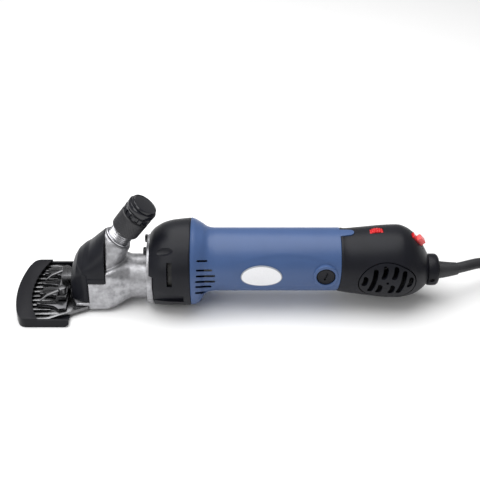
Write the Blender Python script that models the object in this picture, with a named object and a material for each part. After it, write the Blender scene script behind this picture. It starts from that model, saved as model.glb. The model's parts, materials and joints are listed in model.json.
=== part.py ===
"""Electric sheep shears lying on a bench with the blade guard pushed on.

The motor's axis runs along X: the comb points to -X, the cord leaves towards +X, and +Z is up.
Z = 0 is the bench. Sizes are in millimetres and are turned into metres as each mesh is made.
X is measured from a point on the grip; build() ends by moving everything to the final origin.
The cast gearbox head carries the comb. A crank in its neck swings the fork, and the fork
carries the cutter over the comb. The knob presses the cutter down through a spring and a pin.
"""

from math import acos, atan2, cos, pi, radians, sin, sqrt, tan

import bmesh
import bpy
from mathutils import Matrix, Vector

MM = 0.001
GAP = 0.3  # between pieces that touch
ORIGIN_SHIFT = 3.0  # puts the middle of the tool, cord left out, over the origin

# Driving dimensions
MOTOR_Z = 36.0  # height of the motor's axis
CRANK_Z = 20.5  # height of the crankshaft's axis
GRIP_R = 24.5
WALL = 2.3
SHELL_SIDES = 28
HOUSING_FRONT = -30.05  # seam between the gear housing and the motor housing
HOUSING_REAR = 84.0  # seam between the motor housing and the rear cover, on its upper half
COVER_END = 152.2

# Flange where the cast head meets the gear housing
FLANGE_X = (-63.9, -58.9)
FLANGE_Z = 27.4
FLANGE_R = 26.9

# Gears between the armature and the crankshaft
PINION_TEETH = 8
GEAR_TEETH = 36
GEAR_MODULE = 2 * (MOTOR_Z - CRANK_Z) / (PINION_TEETH + GEAR_TEETH)
GEAR_X = (-52.3, -48.3)

# Crank and fork
CRANK_THROW = 4.5
ROLLER_X = (-82.7, -77.6)
FULCRUM = Vector((-109.0, 0.0, 0.0))
FORK_Z = (15.0, 24.0)

# Comb and cutter
COMB_Z = (2.9, 5.9)
COMB_TEETH = 13
COMB_PITCH = 5.9
COMB_TIP_X = -164.0
COMB_TIP_ARC = 118.0  # radius of the line through the tips
CUTTER_Z = (6.2, 9.0)
CUTTER_TOOTH_Y = (-20.4, -6.8, 6.8, 20.4)

# Tension knob: its foot's centre, and the lean of its axis from upright, towards the rear
KNOB_FOOT = Vector((-80.3, 0.0, 63.3))
KNOB_LEAN = radians(36.7)
KNOB_LENGTH = 27.9

# Blade guard
GUARD_HALF_WIDTH = 40.0
GUARD_HEIGHT = 8.4
GUARD_FRONT = -167.6
GUARD_ARC = 121.0
GUARD_REAR = -123.0

# Switch and speed dial, on the rear cover
SWITCH_CENTRE = Vector((142.0, 0.0, 53.2))
SWITCH_SLOPE = radians(47)
DIAL_X = 112.0
DIAL_Z = 54.0
DIAL_R = 9.5

# Brushes and label
BRUSH_X = 72.4
LABEL_X = 23.6

# Cord
CORD_R = 4.25
COIL_CENTRE = Vector((283.26, -2.76, 0.0))
COIL_INNER = 30.45
COIL_OUTER = 61.75
COIL_HEIGHT = 25.5  # three layers
LAST_TURN_R = 43.05
LAST_TURN_ANGLE = radians(97)  # where the cord's last turn leaves the coil


# Materials

def material(name, colour, roughness, metallic=0.0):
    made = bpy.data.materials.new(name)
    made.use_nodes = True
    shader = made.node_tree.nodes["Principled BSDF"]
    shader.inputs["Base Color"].default_value = (*colour, 1.0)
    shader.inputs["Roughness"].default_value = roughness
    shader.inputs["Metallic"].default_value = metallic
    made.diffuse_color = (*colour, 1.0)
    return made


FINISHES = {
    "cast_aluminium": ((0.62, 0.62, 0.64), 0.42, 1.0),
    "black_plastic": ((0.025, 0.025, 0.03), 0.5, 0.0),
    "blue_plastic": ((0.08, 0.14, 0.36), 0.38, 0.0),
    "guard_plastic": ((0.02, 0.02, 0.022), 0.45, 0.0),
    "blade_steel": ((0.55, 0.55, 0.56), 0.28, 1.0),
    "machined_steel": ((0.5, 0.5, 0.52), 0.33, 1.0),
    "black_steel": ((0.03, 0.03, 0.032), 0.35, 1.0),
    "lamination_steel": ((0.3, 0.3, 0.31), 0.5, 1.0),
    "copper": ((0.75, 0.33, 0.17), 0.35, 1.0),
    "brass": ((0.75, 0.58, 0.27), 0.35, 1.0),
    "carbon": ((0.04, 0.04, 0.04), 0.7, 0.0),
    "nylon": ((0.8, 0.78, 0.7), 0.5, 0.0),
    "red_plastic": ((0.6, 0.02, 0.02), 0.35, 0.0),
    "label_white": ((0.85, 0.85, 0.86), 0.4, 0.0),
    "circuit_board": ((0.03, 0.2, 0.08), 0.5, 0.0),
    "cord_rubber": ((0.02, 0.02, 0.022), 0.6, 0.0),
}


# Mesh helpers. They draw in millimetres.

def finish_mesh(name, bm, sharp_angle=30):
    bmesh.ops.remove_doubles(bm, verts=bm.verts, dist=1e-4)
    bmesh.ops.recalc_face_normals(bm, faces=bm.faces)
    bmesh.ops.scale(bm, vec=(MM, MM, MM), verts=bm.verts)
    mesh = bpy.data.meshes.new(name)
    bm.to_mesh(mesh)
    bm.free()
    mesh.shade_smooth()
    mesh.set_sharp_from_angle(angle=radians(sharp_angle))
    return mesh


def add_piece(name, bm, finish, parent=None):
    piece = bpy.data.objects.new(name, finish_mesh(name, bm))
    piece.data.materials.append(MATERIALS[finish])
    bpy.context.scene.collection.objects.link(piece)
    piece.parent = parent
    return piece


def at(piece, location=(0, 0, 0), rotation=(0, 0, 0)):
    piece.location = Vector(location) * MM
    piece.rotation_euler = rotation
    return piece


def axis_empty(name, location, rotation=(0, 0, 0)):
    empty = bpy.data.objects.new(name, None)
    empty.empty_display_size = 0.01
    bpy.context.scene.collection.objects.link(empty)
    return at(empty, location, rotation)


def tool(bm):
    """A helper shape for booleans. combine() deletes it after use."""
    helper = bpy.data.objects.new("helper", finish_mesh("helper", bm))
    bpy.context.scene.collection.objects.link(helper)
    return helper


def combine(piece, helpers, operation):
    """Applies one boolean after another. The helpers are drawn in the piece's own frame."""
    for helper in helpers:
        helper.parent = piece.parent
        helper.matrix_basis = piece.matrix_basis
        step = piece.modifiers.new(operation.lower(), "BOOLEAN")
        step.operation = operation
        step.solver = "EXACT"
        step.object = helper
        bpy.context.view_layer.update()
        graph = bpy.context.evaluated_depsgraph_get()
        result = bpy.data.meshes.new_from_object(piece.evaluated_get(graph))
        piece.modifiers.remove(step)
        worn = piece.data
        piece.data = result
        bpy.data.meshes.remove(worn)
        bpy.data.objects.remove(helper)
    piece.data.set_sharp_from_angle(angle=radians(30))
    return piece


def cut(piece, *helpers):
    return combine(piece, helpers, "DIFFERENCE")


def join(piece, *helpers):
    return combine(piece, helpers, "UNION")


def skin(rings, loop=False):
    """A closed surface through rings of equally many points. A loop joins its last ring to its first."""
    bm = bmesh.new()
    rows = [[bm.verts.new(point) for point in ring] for ring in rings]
    pairs = list(zip(rows, rows[1:] + rows[:1] if loop else rows[1:]))
    for low, high in pairs:
        count = len(low)
        for i in range(count):
            j = (i + 1) % count
            bm.faces.new((low[i], low[j], high[j], high[i]))
    if not loop:
        bm.faces.new(rows[0])
        bm.faces.new(rows[-1])
    return bm


def circle(radius, sides, centre=(0.0, 0.0), start=0.0):
    return [
        (centre[0] + radius * cos(start + 2 * pi * i / sides),
         centre[1] + radius * sin(start + 2 * pi * i / sides))
        for i in range(sides)
    ]


def turned(profile, sides=20, along="Z", loop=False):
    """A shape turned about an axis from (station, radius) points. A radius of 0 closes an end."""
    bm = bmesh.new()
    rows = []
    for station, radius in profile:
        if radius == 0:
            rows.append([bm.verts.new((0, 0, station))])
        else:
            rows.append([bm.verts.new((*point, station)) for point in circle(radius, sides)])
    pairs = list(zip(rows, rows[1:] + rows[:1] if loop else rows[1:]))
    for low, high in pairs:
        for i in range(sides):
            j = (i + 1) % sides
            corners = [low[i % len(low)], low[j % len(low)], high[j % len(high)], high[i % len(high)]]
            unique = list(dict.fromkeys(corners))
            if len(unique) > 2:
                bm.faces.new(unique)
    if not loop:
        for row in (rows[0], rows[-1]):
            if len(row) > 1:
                bm.faces.new(row)
    turn = {"Z": Matrix(), "X": Matrix.Rotation(pi / 2, 4, "Y"), "Y": Matrix.Rotation(-pi / 2, 4, "X")}
    bmesh.ops.transform(bm, matrix=turn[along], verts=bm.verts)
    return bm


def tube_profile(low, high, inner, outer):
    return [(low, inner), (low, outer), (high, outer), (high, inner)]


def ring_piece(low, high, inner, outer, sides=20, along="Z"):
    return turned(tube_profile(low, high, inner, outer), sides, along, loop=True)


def moved(bm, *steps):
    for step in steps:
        bmesh.ops.transform(bm, matrix=step, verts=bm.verts)
    return bm


def shift(x=0.0, y=0.0, z=0.0):
    return Matrix.Translation((x, y, z))


def rod(low, high, radius, sides=16, along="Z"):
    return turned([(low, radius), (high, radius)], sides, along)


def box(low, high):
    (x0, y0, z0), (x1, y1, z1) = low, high
    rings = [[(x0, y0, z), (x1, y0, z), (x1, y1, z), (x0, y1, z)] for z in (z0, z1)]
    return skin(rings)


def prism(outline, low, high):
    """An outline in X and Y, raised from low to high in Z."""
    return skin([[(x, y, z) for x, y in outline] for z in (low, high)])


def pierced_prism(outer, inner, low, high):
    """A prism with a hole. Both outlines have equally many points."""
    rings = [[(x, y, low) for x, y in inner], [(x, y, low) for x, y in outer],
             [(x, y, high) for x, y in outer], [(x, y, high) for x, y in inner]]
    return skin(rings, loop=True)


def mirrored(half):
    """An outline from its half at positive Y, given from the rear forward."""
    return half + [(x, -y) for x, y in reversed(half)]


def arc_x(front, radius, y):
    """X on a shallow arc whose foremost point is at y = 0."""
    return front + radius - sqrt(radius * radius - y * y)


def spread(low, high, count):
    return [low + (high - low) * i / (count - 1) for i in range(count)]


# Sections across X

def round_ring(x, radius, centre_z, sides=SHELL_SIDES):
    return [(x, y, z) for y, z in circle(radius, sides, (0.0, centre_z))]


def soft_box_ring(x, half_width, low, high, corner, per_corner=6):
    """A rectangle with round corners. With its corner at half its size it is a circle."""
    points = []
    corner = min(corner, half_width, (high - low) / 2)
    for k, (sy, sz) in enumerate(((1, 1), (-1, 1), (-1, -1), (1, -1))):
        centre_y = sy * (half_width - corner)
        centre_z = (high - corner) if sz > 0 else (low + corner)
        for a in spread(k * pi / 2, (k + 1) * pi / 2, per_corner):
            points.append((x, centre_y + corner * cos(a), centre_z + corner * sin(a)))
    return points


# Cast head

def gearbox_head():
    loft = [
        soft_box_ring(-125.0, 7.0, 6.2, 34.0, 1.5),
        soft_box_ring(-119.0, 21.5, 2.2, 34.0, 1.5),
        soft_box_ring(-95.0, 21.5, 2.2, 36.0, 3.0),
        soft_box_ring(-86.0, 20.0, 2.6, 37.3, 10.0),
        soft_box_ring(-77.0, 17.3, 3.2, 37.8, 17.3),
        soft_box_ring(-62.0, 17.3, 3.2, 37.8, 17.3),
    ]
    head = add_piece("gearbox_head", skin(loft), "cast_aluminium")
    tower = turned([(-9.5, 11.0), (-10.0, 11.8), (-15.0, 12.6), (-24.0, 14.5), (-40.0, 19.0)], 24)
    flange = moved(rod(*FLANGE_X, FLANGE_R, SHELL_SIDES, "X"), shift(z=FLANGE_Z))
    join(head, tool(moved(tower, knob_frame())), tool(flange))
    floor_top, side_wall = 12.0, 17.5
    pocket_front = FULCRUM.x
    cut(
        head,
        # Where the black cover sits: above the shoulder, and in front of the side walls
        tool(box((-140, -30, 26.9), (-95.2, 30, 90))),
        tool(box((-140, -30, floor_top), (pocket_front, 30, 40))),
        tool(box((-140, 11.6, 8.7), (pocket_front, 30, 40))),
        tool(box((-140, -30, 8.7), (pocket_front, -11.6, 40))),
        # Seat for the comb
        tool(box((-140, -30, 0), (-109.4, 30, COMB_Z[1] + GAP))),
        # Room for the fork, and the bore for the crankshaft
        tool(box((-140, -side_wall, floor_top), (-86, side_wall, 33.0))),
        tool(moved(rod(-90, -50, 13.0, 24, "X"), shift(z=CRANK_Z))),
        # Bores for the tension sleeve and pin
        tool(moved(rod(-18.3, 5, 7.3, 20), knob_frame())),
        tool(moved(rod(-60, -15, 3.4, 12), knob_frame())),
        # Threaded seats for the fulcrum post and the comb screws
        tool(moved(rod(6.8, 20, 4.3, 16), shift(x=FULCRUM.x))),
        *[tool(moved(rod(0, 11.5, 2.5, 12), shift(*place))) for place in COMB_SCREWS],
    )
    return cut(head, *flange_screw_holes())


COMB_SCREWS = ((-117.5, -8.5), (-117.5, 8.5))
UPPER_SCREWS = ((-9.0, 49.3), (9.0, 49.3))
LOWER_SCREWS = ((-15.0, 12.5), (15.0, 12.5))


def flange_screw_holes():
    """The upper screws go in from the front, through the flange; the lower ones from behind."""
    through = [(rod(-70, -45, 1.9, 10, "X"), place) for place in UPPER_SCREWS]
    blind = [(rod(-63.4, -45, 1.9, 10, "X"), place) for place in LOWER_SCREWS]
    return [tool(moved(hole, shift(0, *place))) for hole, place in through + blind]


def knob_frame():
    """Turns a shape drawn along Z onto the tension axis, with its zero at the knob's foot."""
    return Matrix.Translation(KNOB_FOOT) @ Matrix.Rotation(KNOB_LEAN, 4, "Y")


def hood_ring(x, half_width, shoulder, top, low=8.95, shrink=0.0):
    """An arch over the fork: straight sides and an elliptical roof."""
    w, t = half_width - shrink, top - shrink
    roof = [(x, w * cos(a), shoulder + (t - shoulder) * sin(a)) for a in spread(0, pi, 15)]
    return [(x, w, low)] + roof + [(x, -w, low)]


def head_cover():
    """The black cover over the front of the head, a shell open below, in front and behind."""
    stations = [(-95.5, 21.5, 36.0, 61.6), (-102.5, 21.5, 36.0, 55.0), (-108.4, 21.3, 35.5, 49.0),
                (-113.5, 20.6, 33.5, 46.0), (-117.5, 18.6, 30.0, 42.5), (-120.8, 16.4, 26.0, 37.0),
                (-122.8, 14.6, 22.0, 31.0)]
    inner = [(-94.6, 21.5, 36.0, 61.6)] + stations[1:-1] + [(-121.0, 15.4, 23.0, 31.5)]
    cover = add_piece("head_cover", skin([hood_ring(*s) for s in stations]), "black_plastic")
    cut(
        cover,
        tool(skin([hood_ring(*s, low=0.0, shrink=2.2) for s in inner])),
        tool(box((-109.3, -40, 0), (-80, 40, 27.2))),
        tool(box((-130, -12.0, 0), (-116, 12.0, 25.0))),
    )
    return cover


# Crank, fork, cutter and comb

def crankshaft(parent):
    shaft = turned([(-77.0, 8.6), (-74.2, 8.6), (-74.2, 6.0), (-47.8, 6.0), (-47.8, 3.5), (-40.9, 3.5)],
                   20, "X")
    piece = add_piece("crankshaft", shaft, "machined_steel", parent)
    pin = moved(rod(-82.4, -75.0, 1.8, 12, "X"), shift(z=CRANK_THROW))
    return join(piece, tool(pin))


def gear_outline(teeth, flank_points, phase=0.0, backlash=0.3):
    """An involute gear's outline, its flanks drawn through a few points each."""
    pitch_r = GEAR_MODULE * teeth / 2
    base_r = pitch_r * cos(radians(20))
    tip_r = pitch_r + 0.7 * GEAR_MODULE
    root_r = pitch_r - 1.2 * GEAR_MODULE

    def involute(r):
        turn = acos(min(1.0, base_r / r))
        return tan(turn) - turn

    half_pitch_tooth = (pi * GEAR_MODULE / 2 - backlash) / 2 / pitch_r
    flank = spread(max(root_r, base_r), tip_r, flank_points)
    spans = [(r, half_pitch_tooth + involute(pitch_r) - involute(r)) for r in flank]
    side = [(root_r, min(spans[0][1], 0.92 * pi / teeth))] + spans[1:]
    outline = []
    for tooth in range(teeth):
        middle = phase + 2 * pi * tooth / teeth
        turns = [(r, -a) for r, a in side] + [(r, a) for r, a in reversed(side)]
        outline += [(r * cos(middle + a), r * sin(middle + a)) for r, a in turns]
    return outline


def along_motor(bm):
    """Turns a shape drawn along Z to lie along X, its own X pointing down."""
    return moved(bm, Matrix.Rotation(pi / 2, 4, "Y"))


def driven_gear(parent):
    # Its own -X points up at the pinion, and a tooth stands there.
    blank = along_motor(prism(gear_outline(GEAR_TEETH, 2), *GEAR_X))
    piece = add_piece("driven_gear", blank, "machined_steel", parent)
    return cut(piece, tool(rod(-60, -40, 6.3, 20, "X")))


def bearing(name, low, high, inner, outer, parent=None, finish="machined_steel"):
    return add_piece(name, ring_piece(low, high, inner, outer, 20, "X"), finish, parent)


def fork(parent):
    """The fork's bar, drawn about its fulcrum, with its slot at the rear and a crossbar in front."""
    half = [(18.9, 3.8), (25.0, 3.8), (25.0, 7.0), (17.0, 7.0), (8.0, 8.5), (-6.0, 8.5),
            (-10.0, 6.0), (-22.5, 6.0)]
    outline = [(18.9, -3.8), (18.9, 3.8)] + half[1:] + [(x, -y) for x, y in reversed(half[1:])]
    piece = add_piece("fork", prism(outline, *FORK_Z), "machined_steel", parent)
    crossbar = box((-25.0, -18.0, 10.0), (-18.0, 18.0, 13.6))
    riser = box((-22.4, -5.9, 12.0), (-16.5, 5.9, 16.0))
    join(piece, tool(riser), tool(crossbar))
    holes = [tool(moved(rod(5, 16, 2.7, 12), shift(-21.5, y))) for y in (-13.6, 13.6)]
    return cut(piece, tool(rod(5, 18.0, 3.5, 16)), *holes)


def fork_foot(name, side, parent):
    """A foot that stands in the crossbar and presses on two of the cutter's teeth."""
    hub_y = side * 13.6
    hub = turned([(9.5, 2.3), (14.0, 2.3), (14.0, 3.4), (18.4, 3.4), (19.0, 2.6)], 12)
    piece = add_piece(name, moved(hub, shift(-21.5, hub_y)), "machined_steel", parent)
    prongs = []
    for tooth_y in (side * 6.8, side * 20.4):
        start = Vector((-21.5, hub_y, 17.0))
        end = Vector((-38.0, tooth_y, 10.9))
        across = Vector((0, 1.5, 0))
        lift = Vector((0.6, 0, 1.3))
        rings = [[p + across + lift, p - across + lift, p - across - lift, p + across - lift]
                 for p in (start, end)]
        prongs.append(tool(skin(rings)))
    return join(piece, *prongs)


def cutter(parent):
    """Four pointed teeth on a bar, drawn about the fork's fulcrum."""
    outline = [(-17.0, 27.0), (-23.0, 28.5)]
    for y in reversed(CUTTER_TOOTH_Y):
        outline += [(-27.0, y + 4.2), (-40.5, y + 1.4), (-41.2, y), (-40.5, y - 1.4), (-27.0, y - 4.2)]
    outline += [(-23.0, -28.5), (-17.0, -27.0)]
    return add_piece("cutter", prism(outline, *CUTTER_Z), "blade_steel", parent)


def comb():
    """The lower blade: thirteen teeth whose tips lie on an arc."""
    half_span = COMB_PITCH * (COMB_TEETH - 1) / 2
    root_x = -139.5
    outline = [(-110.0, 21.0), (-126.0, 29.5), (-138.0, half_span + 1.5)]
    for tooth in reversed(range(COMB_TEETH)):
        y = tooth * COMB_PITCH - half_span
        tip = arc_x(COMB_TIP_X, COMB_TIP_ARC, y)
        root = root_x + 0.25 * (tip - COMB_TIP_X)
        if tooth < COMB_TEETH - 1:
            outline.append((root, y + 1.7))
        outline += [(tip + 8.0, y + 1.3), (tip + 0.8, y + 0.8), (tip, y),
                    (tip + 0.8, y - 0.8), (tip + 8.0, y - 1.3)]
        if tooth > 0:
            outline.append((root, y - 1.7))
    outline += [(-138.0, -half_span - 1.5), (-126.0, -29.5), (-110.0, -21.0)]
    piece = add_piece("comb", prism(outline, *COMB_Z), "blade_steel")
    holes = [tool(moved(rod(0, 10, 2.5, 12), shift(*place))) for place in COMB_SCREWS]
    return cut(piece, *holes)


def comb_screw(name, place):
    profile = [(0.3, 4.2), (2.5, 4.4), (2.5, 2.2), (11.0, 2.2)]
    return at(add_piece(name, turned(profile, 16), "black_steel"), (*place, 0.0))


def blade_guard(parent):
    """A sleeve open at the rear: floor, low walls, and a band over the comb's tips."""

    def plan(inset, rear, front):
        width = GUARD_HALF_WIDTH - inset
        radius = 7.0 - inset
        points = []
        for y in spread(width - radius, 0.0, 7):
            points.append((arc_x(front + inset, GUARD_ARC, y), y))
        corner_x = arc_x(front + inset, GUARD_ARC, width - radius) + 1.12 * radius
        corner = [(corner_x - radius * cos(a), width - radius + radius * sin(a))
                  for a in spread(pi / 2, 0.35, 5)]
        return mirrored([(rear, width)] + corner + points[1:-1] + [(front + inset, 0.001)])

    block = prism(plan(0, GUARD_REAR, GUARD_FRONT), 0, GUARD_HEIGHT)
    shell = add_piece("blade_guard", block, "guard_plastic", parent)
    band_arc = [(arc_x(-155.8, 90.0, y), y) for y in (45.0, 36.0, 24.0, 12.0, 0.001)]
    band_edge = mirrored([(-100.0, 60.0)] + band_arc)
    low_rear = [(GUARD_REAR + 1.0, -1.0), (GUARD_REAR + 1.0, 4.0), (GUARD_REAR - 4.0, -1.0)]
    chamfer = skin([[(x, y, z) for x, z in low_rear] for y in (-60.0, 60.0)])
    return cut(
        shell,
        tool(prism(plan(2.0, GUARD_REAR + 5, GUARD_FRONT), 2.6, GUARD_HEIGHT - 1.6)),
        tool(prism(band_edge, GUARD_HEIGHT - 1.7, 20)),
        tool(chamfer),
    )


# Tension parts, drawn along Z from the knob's foot

def tension_parts(base, plunger_axis, knob_axis):
    sleeve = [(-18.0, 5.2), (-18.0, 7.0), (-9.2, 7.0), (-9.2, 10.5), (-8.0, 10.5), (-8.0, 9.2),
              (12.0, 9.2), (12.0, 5.2)]
    add_piece("tension_sleeve", turned(sleeve, 20, loop=True), "cast_aluminium", base)
    pin_end = [(-45.0 - 3.0 * sin(a), 3.0 * cos(a)) for a in spread(0, pi / 2, 4)]
    pin = [(-12.3, 0), (-12.3, 4.8), (-17.0, 4.8), (-17.0, 3.0)] + pin_end[:-1] + [(-48.0, 0)]
    add_piece("tension_pin", turned(pin, 16), "machined_steel", base)
    add_piece("tension_spring", coil_spring(3.9, 0.6, -11.3, 8.3, 5), "machined_steel", base)
    plunger = [(19.9, 0), (19.9, 8.8), (17.4, 8.8), (17.4, 4.8), (9.3, 4.8), (9.3, 0)]
    add_piece("tension_plunger", turned(plunger, 20), "machined_steel", plunger_axis)
    knob = [(20.2, 0), (20.2, 9.5), (0.0, 9.5), (0.0, 10.8), (0.8, 11.2), (25.2, 11.75), (25.2, 10.5),
            (27.3, 10.5), (KNOB_LENGTH, 9.8), (KNOB_LENGTH, 0)]
    add_piece("tension_knob", turned(knob, 24), "black_plastic", knob_axis)


def coil_spring(radius, wire_r, low, high, turns, per_turn=9, sides=4):
    rings = []
    count = turns * per_turn
    for i in range(count + 1):
        a = 2 * pi * i / per_turn
        centre = Vector((radius * cos(a), radius * sin(a), low + (high - low) * i / count))
        outward = Vector((cos(a), sin(a), 0))
        rings.append([centre + wire_r * (cos(b) * outward + sin(b) * Vector((0, 0, 1)))
                      for b in (2 * pi * k / sides for k in range(sides))])
    return skin(rings)


# Gear housing, and what it holds

GEAR_HOUSING_OUTSIDE = ((-61.6, 27.9), (-58.3, 29.8), (-54.6, 31.1), (-50.8, 32.1), (-42.0, 33.3),
                        (-30.35, 33.9))


def gear_housing():
    """A black shell whose underside is one straight line, with a cheek over the flange."""
    outside = [round_ring(x, r, r) for x, r in GEAR_HOUSING_OUTSIDE]
    inside = [round_ring(-30.35, 30.4, 33.4), round_ring(-47.2, 30.3, 33.0),
              round_ring(-47.2, 29.4, 32.3), round_ring(-53.2, 28.2, 31.4),
              round_ring(-53.2, 13.4, CRANK_Z), round_ring(-61.6, 13.4, CRANK_Z)]
    piece = add_piece("gear_housing", skin(outside + inside, loop=True), "black_plastic")
    seat = moved(rod(-70, FLANGE_X[1] + GAP, FLANGE_R + GAP, SHELL_SIDES, "X"), shift(z=FLANGE_Z))
    cut(piece, tool(seat), tool(box((-70, -50, -20), (-58.3, 50, 38.0))))
    return cut(piece, *flange_screw_holes())


def flange_screw(name, place, front_head):
    if front_head:
        profile = [(-66.2, 2.4), (-65.9, 3.15), (-64.2, 3.15), (-64.2, 1.6), (-54.0, 1.6)]
    else:
        profile = [(-63.0, 1.6), (-52.9, 1.6), (-52.9, 3.0), (-50.8, 3.0)]
    return at(add_piece(name, turned(profile, 12, "X"), "black_steel"), (0, *place))


def bearing_plate():
    plate = moved(rod(-46.9, -40.9, 29.9, SHELL_SIDES, "X"), shift(z=33.0))
    piece = add_piece("bearing_plate", plate, "cast_aluminium")
    return cut(
        piece,
        tool(moved(rod(-60, -30, 8.6, 24, "X"), shift(z=MOTOR_Z))),
        tool(moved(rod(-60, -30, 6.2, 20, "X"), shift(z=CRANK_Z))),
    )


# Motor

def housing_ring(x, radius, centre_z, rear_seam=False):
    ring = round_ring(x, radius, centre_z)
    if not rear_seam:
        return ring
    return [(rear_seam_x(z) + x - HOUSING_REAR, y, z) for _, y, z in ring]


def rear_seam_x(z):
    """The seam stands upright on the upper half and leans forward below."""
    below = max(0.0, 44.0 - z)
    return HOUSING_REAR - 0.0032 * below * below


HOUSING_OUTSIDE = ((HOUSING_FRONT, 33.85, 34.2), (-27.0, 33.1, 33.9), (-24.5, 31.8, 33.8),
                   (-22.3, 29.9, 34.5), (-20.6, 27.5, 36.0), (-17.6, 25.6, 36.0), (-12.5, GRIP_R, 36.0))
VENTS = ((32, -25.2, -17.0), (18.5, -25.6, -13.6), (9, -25.7, -11.5), (-0.5, -26.3, -11.5),
         (-10, -26.3, -14.3), (-23, -26.6, -18.2))


def motor_housing():
    outside = [round_ring(*s) for s in HOUSING_OUTSIDE] + [housing_ring(HOUSING_REAR, GRIP_R, 36.0, True)]
    inside = [housing_ring(HOUSING_REAR, GRIP_R - WALL, 36.0, True),
              round_ring(-13.5, GRIP_R - WALL, 36.0), round_ring(-19.0, 23.6, 36.0),
              round_ring(-23.3, 28.0, 34.5), round_ring(-27.0, 30.4, 33.9),
              round_ring(HOUSING_FRONT, 31.0, 34.0)]
    piece = add_piece("motor_housing", skin(outside + inside, loop=True), "blue_plastic")
    for side in (-1, 1):
        boss = moved(rod(17.0, 24.95, 9.2, 24, "Y"), Matrix.Scale(side, 4, (0, 1, 0)),
                     shift(BRUSH_X, 0, MOTOR_Z))
        join(piece, tool(boss))
    for side in (-1, 1):
        socket = turned([(15.0, 5.4), (20.7, 5.4), (20.7, 7.25), (30.0, 7.25)], 20, "Y")
        cut(piece, tool(moved(socket, Matrix.Scale(side, 4, (0, 1, 0)), shift(BRUSH_X, 0, MOTOR_Z))))
        for angle, front, rear in VENTS:
            slot = box((front, 20.0, -0.8), (rear, 40.0, 0.8))
            lean = Matrix.Rotation(radians(angle), 4, "X")
            cut(piece, tool(moved(slot, lean, Matrix.Scale(side, 4, (0, 1, 0)), shift(z=MOTOR_Z))))
    return piece


def armature(parent):
    """The shaft with the pinion cut on it, and what is pressed on the shaft."""
    shaft = turned([(-47.9, 3.0), (-38.0, 3.0), (-38.0, 4.0), (83.6, 4.0), (83.6, 3.0), (94.0, 3.0)],
                   16, "X")
    piece = add_piece("armature_shaft", shaft, "machined_steel", parent)
    # The pinion's own X points down at the driven gear, so a gap between two teeth stands there.
    pinion = along_motor(prism(gear_outline(PINION_TEETH, 3, pi / PINION_TEETH), -53.0, -47.0))
    join(piece, tool(pinion))
    blades = []
    for blade in range(11):
        a = 2 * pi * blade / 11
        for radius, turn in ((8.0, -0.19), (20.0, -0.035), (20.0, 0.035), (8.0, 0.19)):
            blades.append((radius * cos(a + turn), radius * sin(a + turn)))
    hole = [(4.3 * cos(a), 4.3 * sin(a)) for a in (atan2(y, x) for x, y in blades)]
    add_piece("cooling_fan", along_motor(pierced_prism(blades, hole, -20.0, -12.0)), "nylon", parent)
    core = along_motor(prism(star_outline(12, 9.0, 13.5), 5.0, 50.0))
    cut(add_piece("armature_core", core, "lamination_steel", parent), tool(rod(0, 60, 4.3, 16, "X")))
    front = [(-4.0, 4.3), (-4.0, 9.0), (-2.0, 11.5), (4.7, 12.3), (4.7, 4.3)]
    add_piece("armature_winding_front", turned(front, 20, "X", loop=True), "copper", parent)
    rear = [(55.0 - x, r) for x, r in reversed(front)]
    add_piece("armature_winding_rear", turned(rear, 20, "X", loop=True), "copper", parent)
    bearing("commutator", 65.0, 81.5, 4.3, 8.5, parent, "copper")


def star_outline(count, low, high, share=0.72):
    """Broad teeth separated by narrow slots."""
    points = []
    step = 2 * pi / count
    for i in range(count):
        a = i * step
        edge = step * share / 2
        corners = ((low, a - edge), (high, a - edge), (high, a + edge), (low, a + edge))
        points += [(radius * cos(turn), radius * sin(turn)) for radius, turn in corners]
    return points


def stator():
    """A laminated ring with two poles, and a coil round each pole."""
    sides = 40
    outer, inner = [], []
    for i in range(sides):
        a = 2 * pi * i / sides
        on_pole = abs(sin(a)) > sin(radians(42))
        radius = 14.4 if on_pole else 18.8
        outer.append((21.8 * cos(a), 21.8 * sin(a)))
        inner.append((radius * cos(a), radius * sin(a)))
    ring = moved(pierced_prism(outer, inner, 3.0, 52.0), Matrix.Rotation(pi / 2, 4, "Z"),
                 Matrix.Rotation(pi / 2, 4, "Y"))
    at(add_piece("stator_core", ring, "lamination_steel"), (0, 0, MOTOR_Z))
    for name, middle in (("field_coil_upper", pi / 2), ("field_coil_lower", -pi / 2)):
        frame = curved_frame((14.8, 18.4), middle, (radians(86), radians(55.5)), (-2.0, 2.6, 52.4, 57.0))
        at(add_piece(name, frame, "copper"), (0, 0, MOTOR_Z))


def curved_frame(radii, middle, half_angles, stations):
    """A rectangular frame bent round X: two limbs along X joined by an arc at each end."""
    wide, narrow = half_angles
    x0, x1, x2, x3 = stations
    corner_turns = 4

    def point(radius, angle, x):
        return (x, radius * cos(middle + angle), radius * sin(middle + angle))

    # The frame's centre line runs once round; each ring is the cross-section there.
    outer_path = [(a, x0) for a in spread(-wide, wide, 2 * corner_turns + 1)]
    outer_path += [(a, x3) for a in spread(wide, -wide, 2 * corner_turns + 1)]
    inner_path = [(a, x1) for a in spread(-narrow, narrow, 2 * corner_turns + 1)]
    inner_path += [(a, x2) for a in spread(narrow, -narrow, 2 * corner_turns + 1)]
    rings = []
    for (ao, xo), (ai, xi) in zip(outer_path, inner_path):
        rings.append([point(radii[0], ao, xo), point(radii[1], ao, xo),
                      point(radii[1], ai, xi), point(radii[0], ai, xi)])
    return skin(rings, loop=True)


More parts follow.
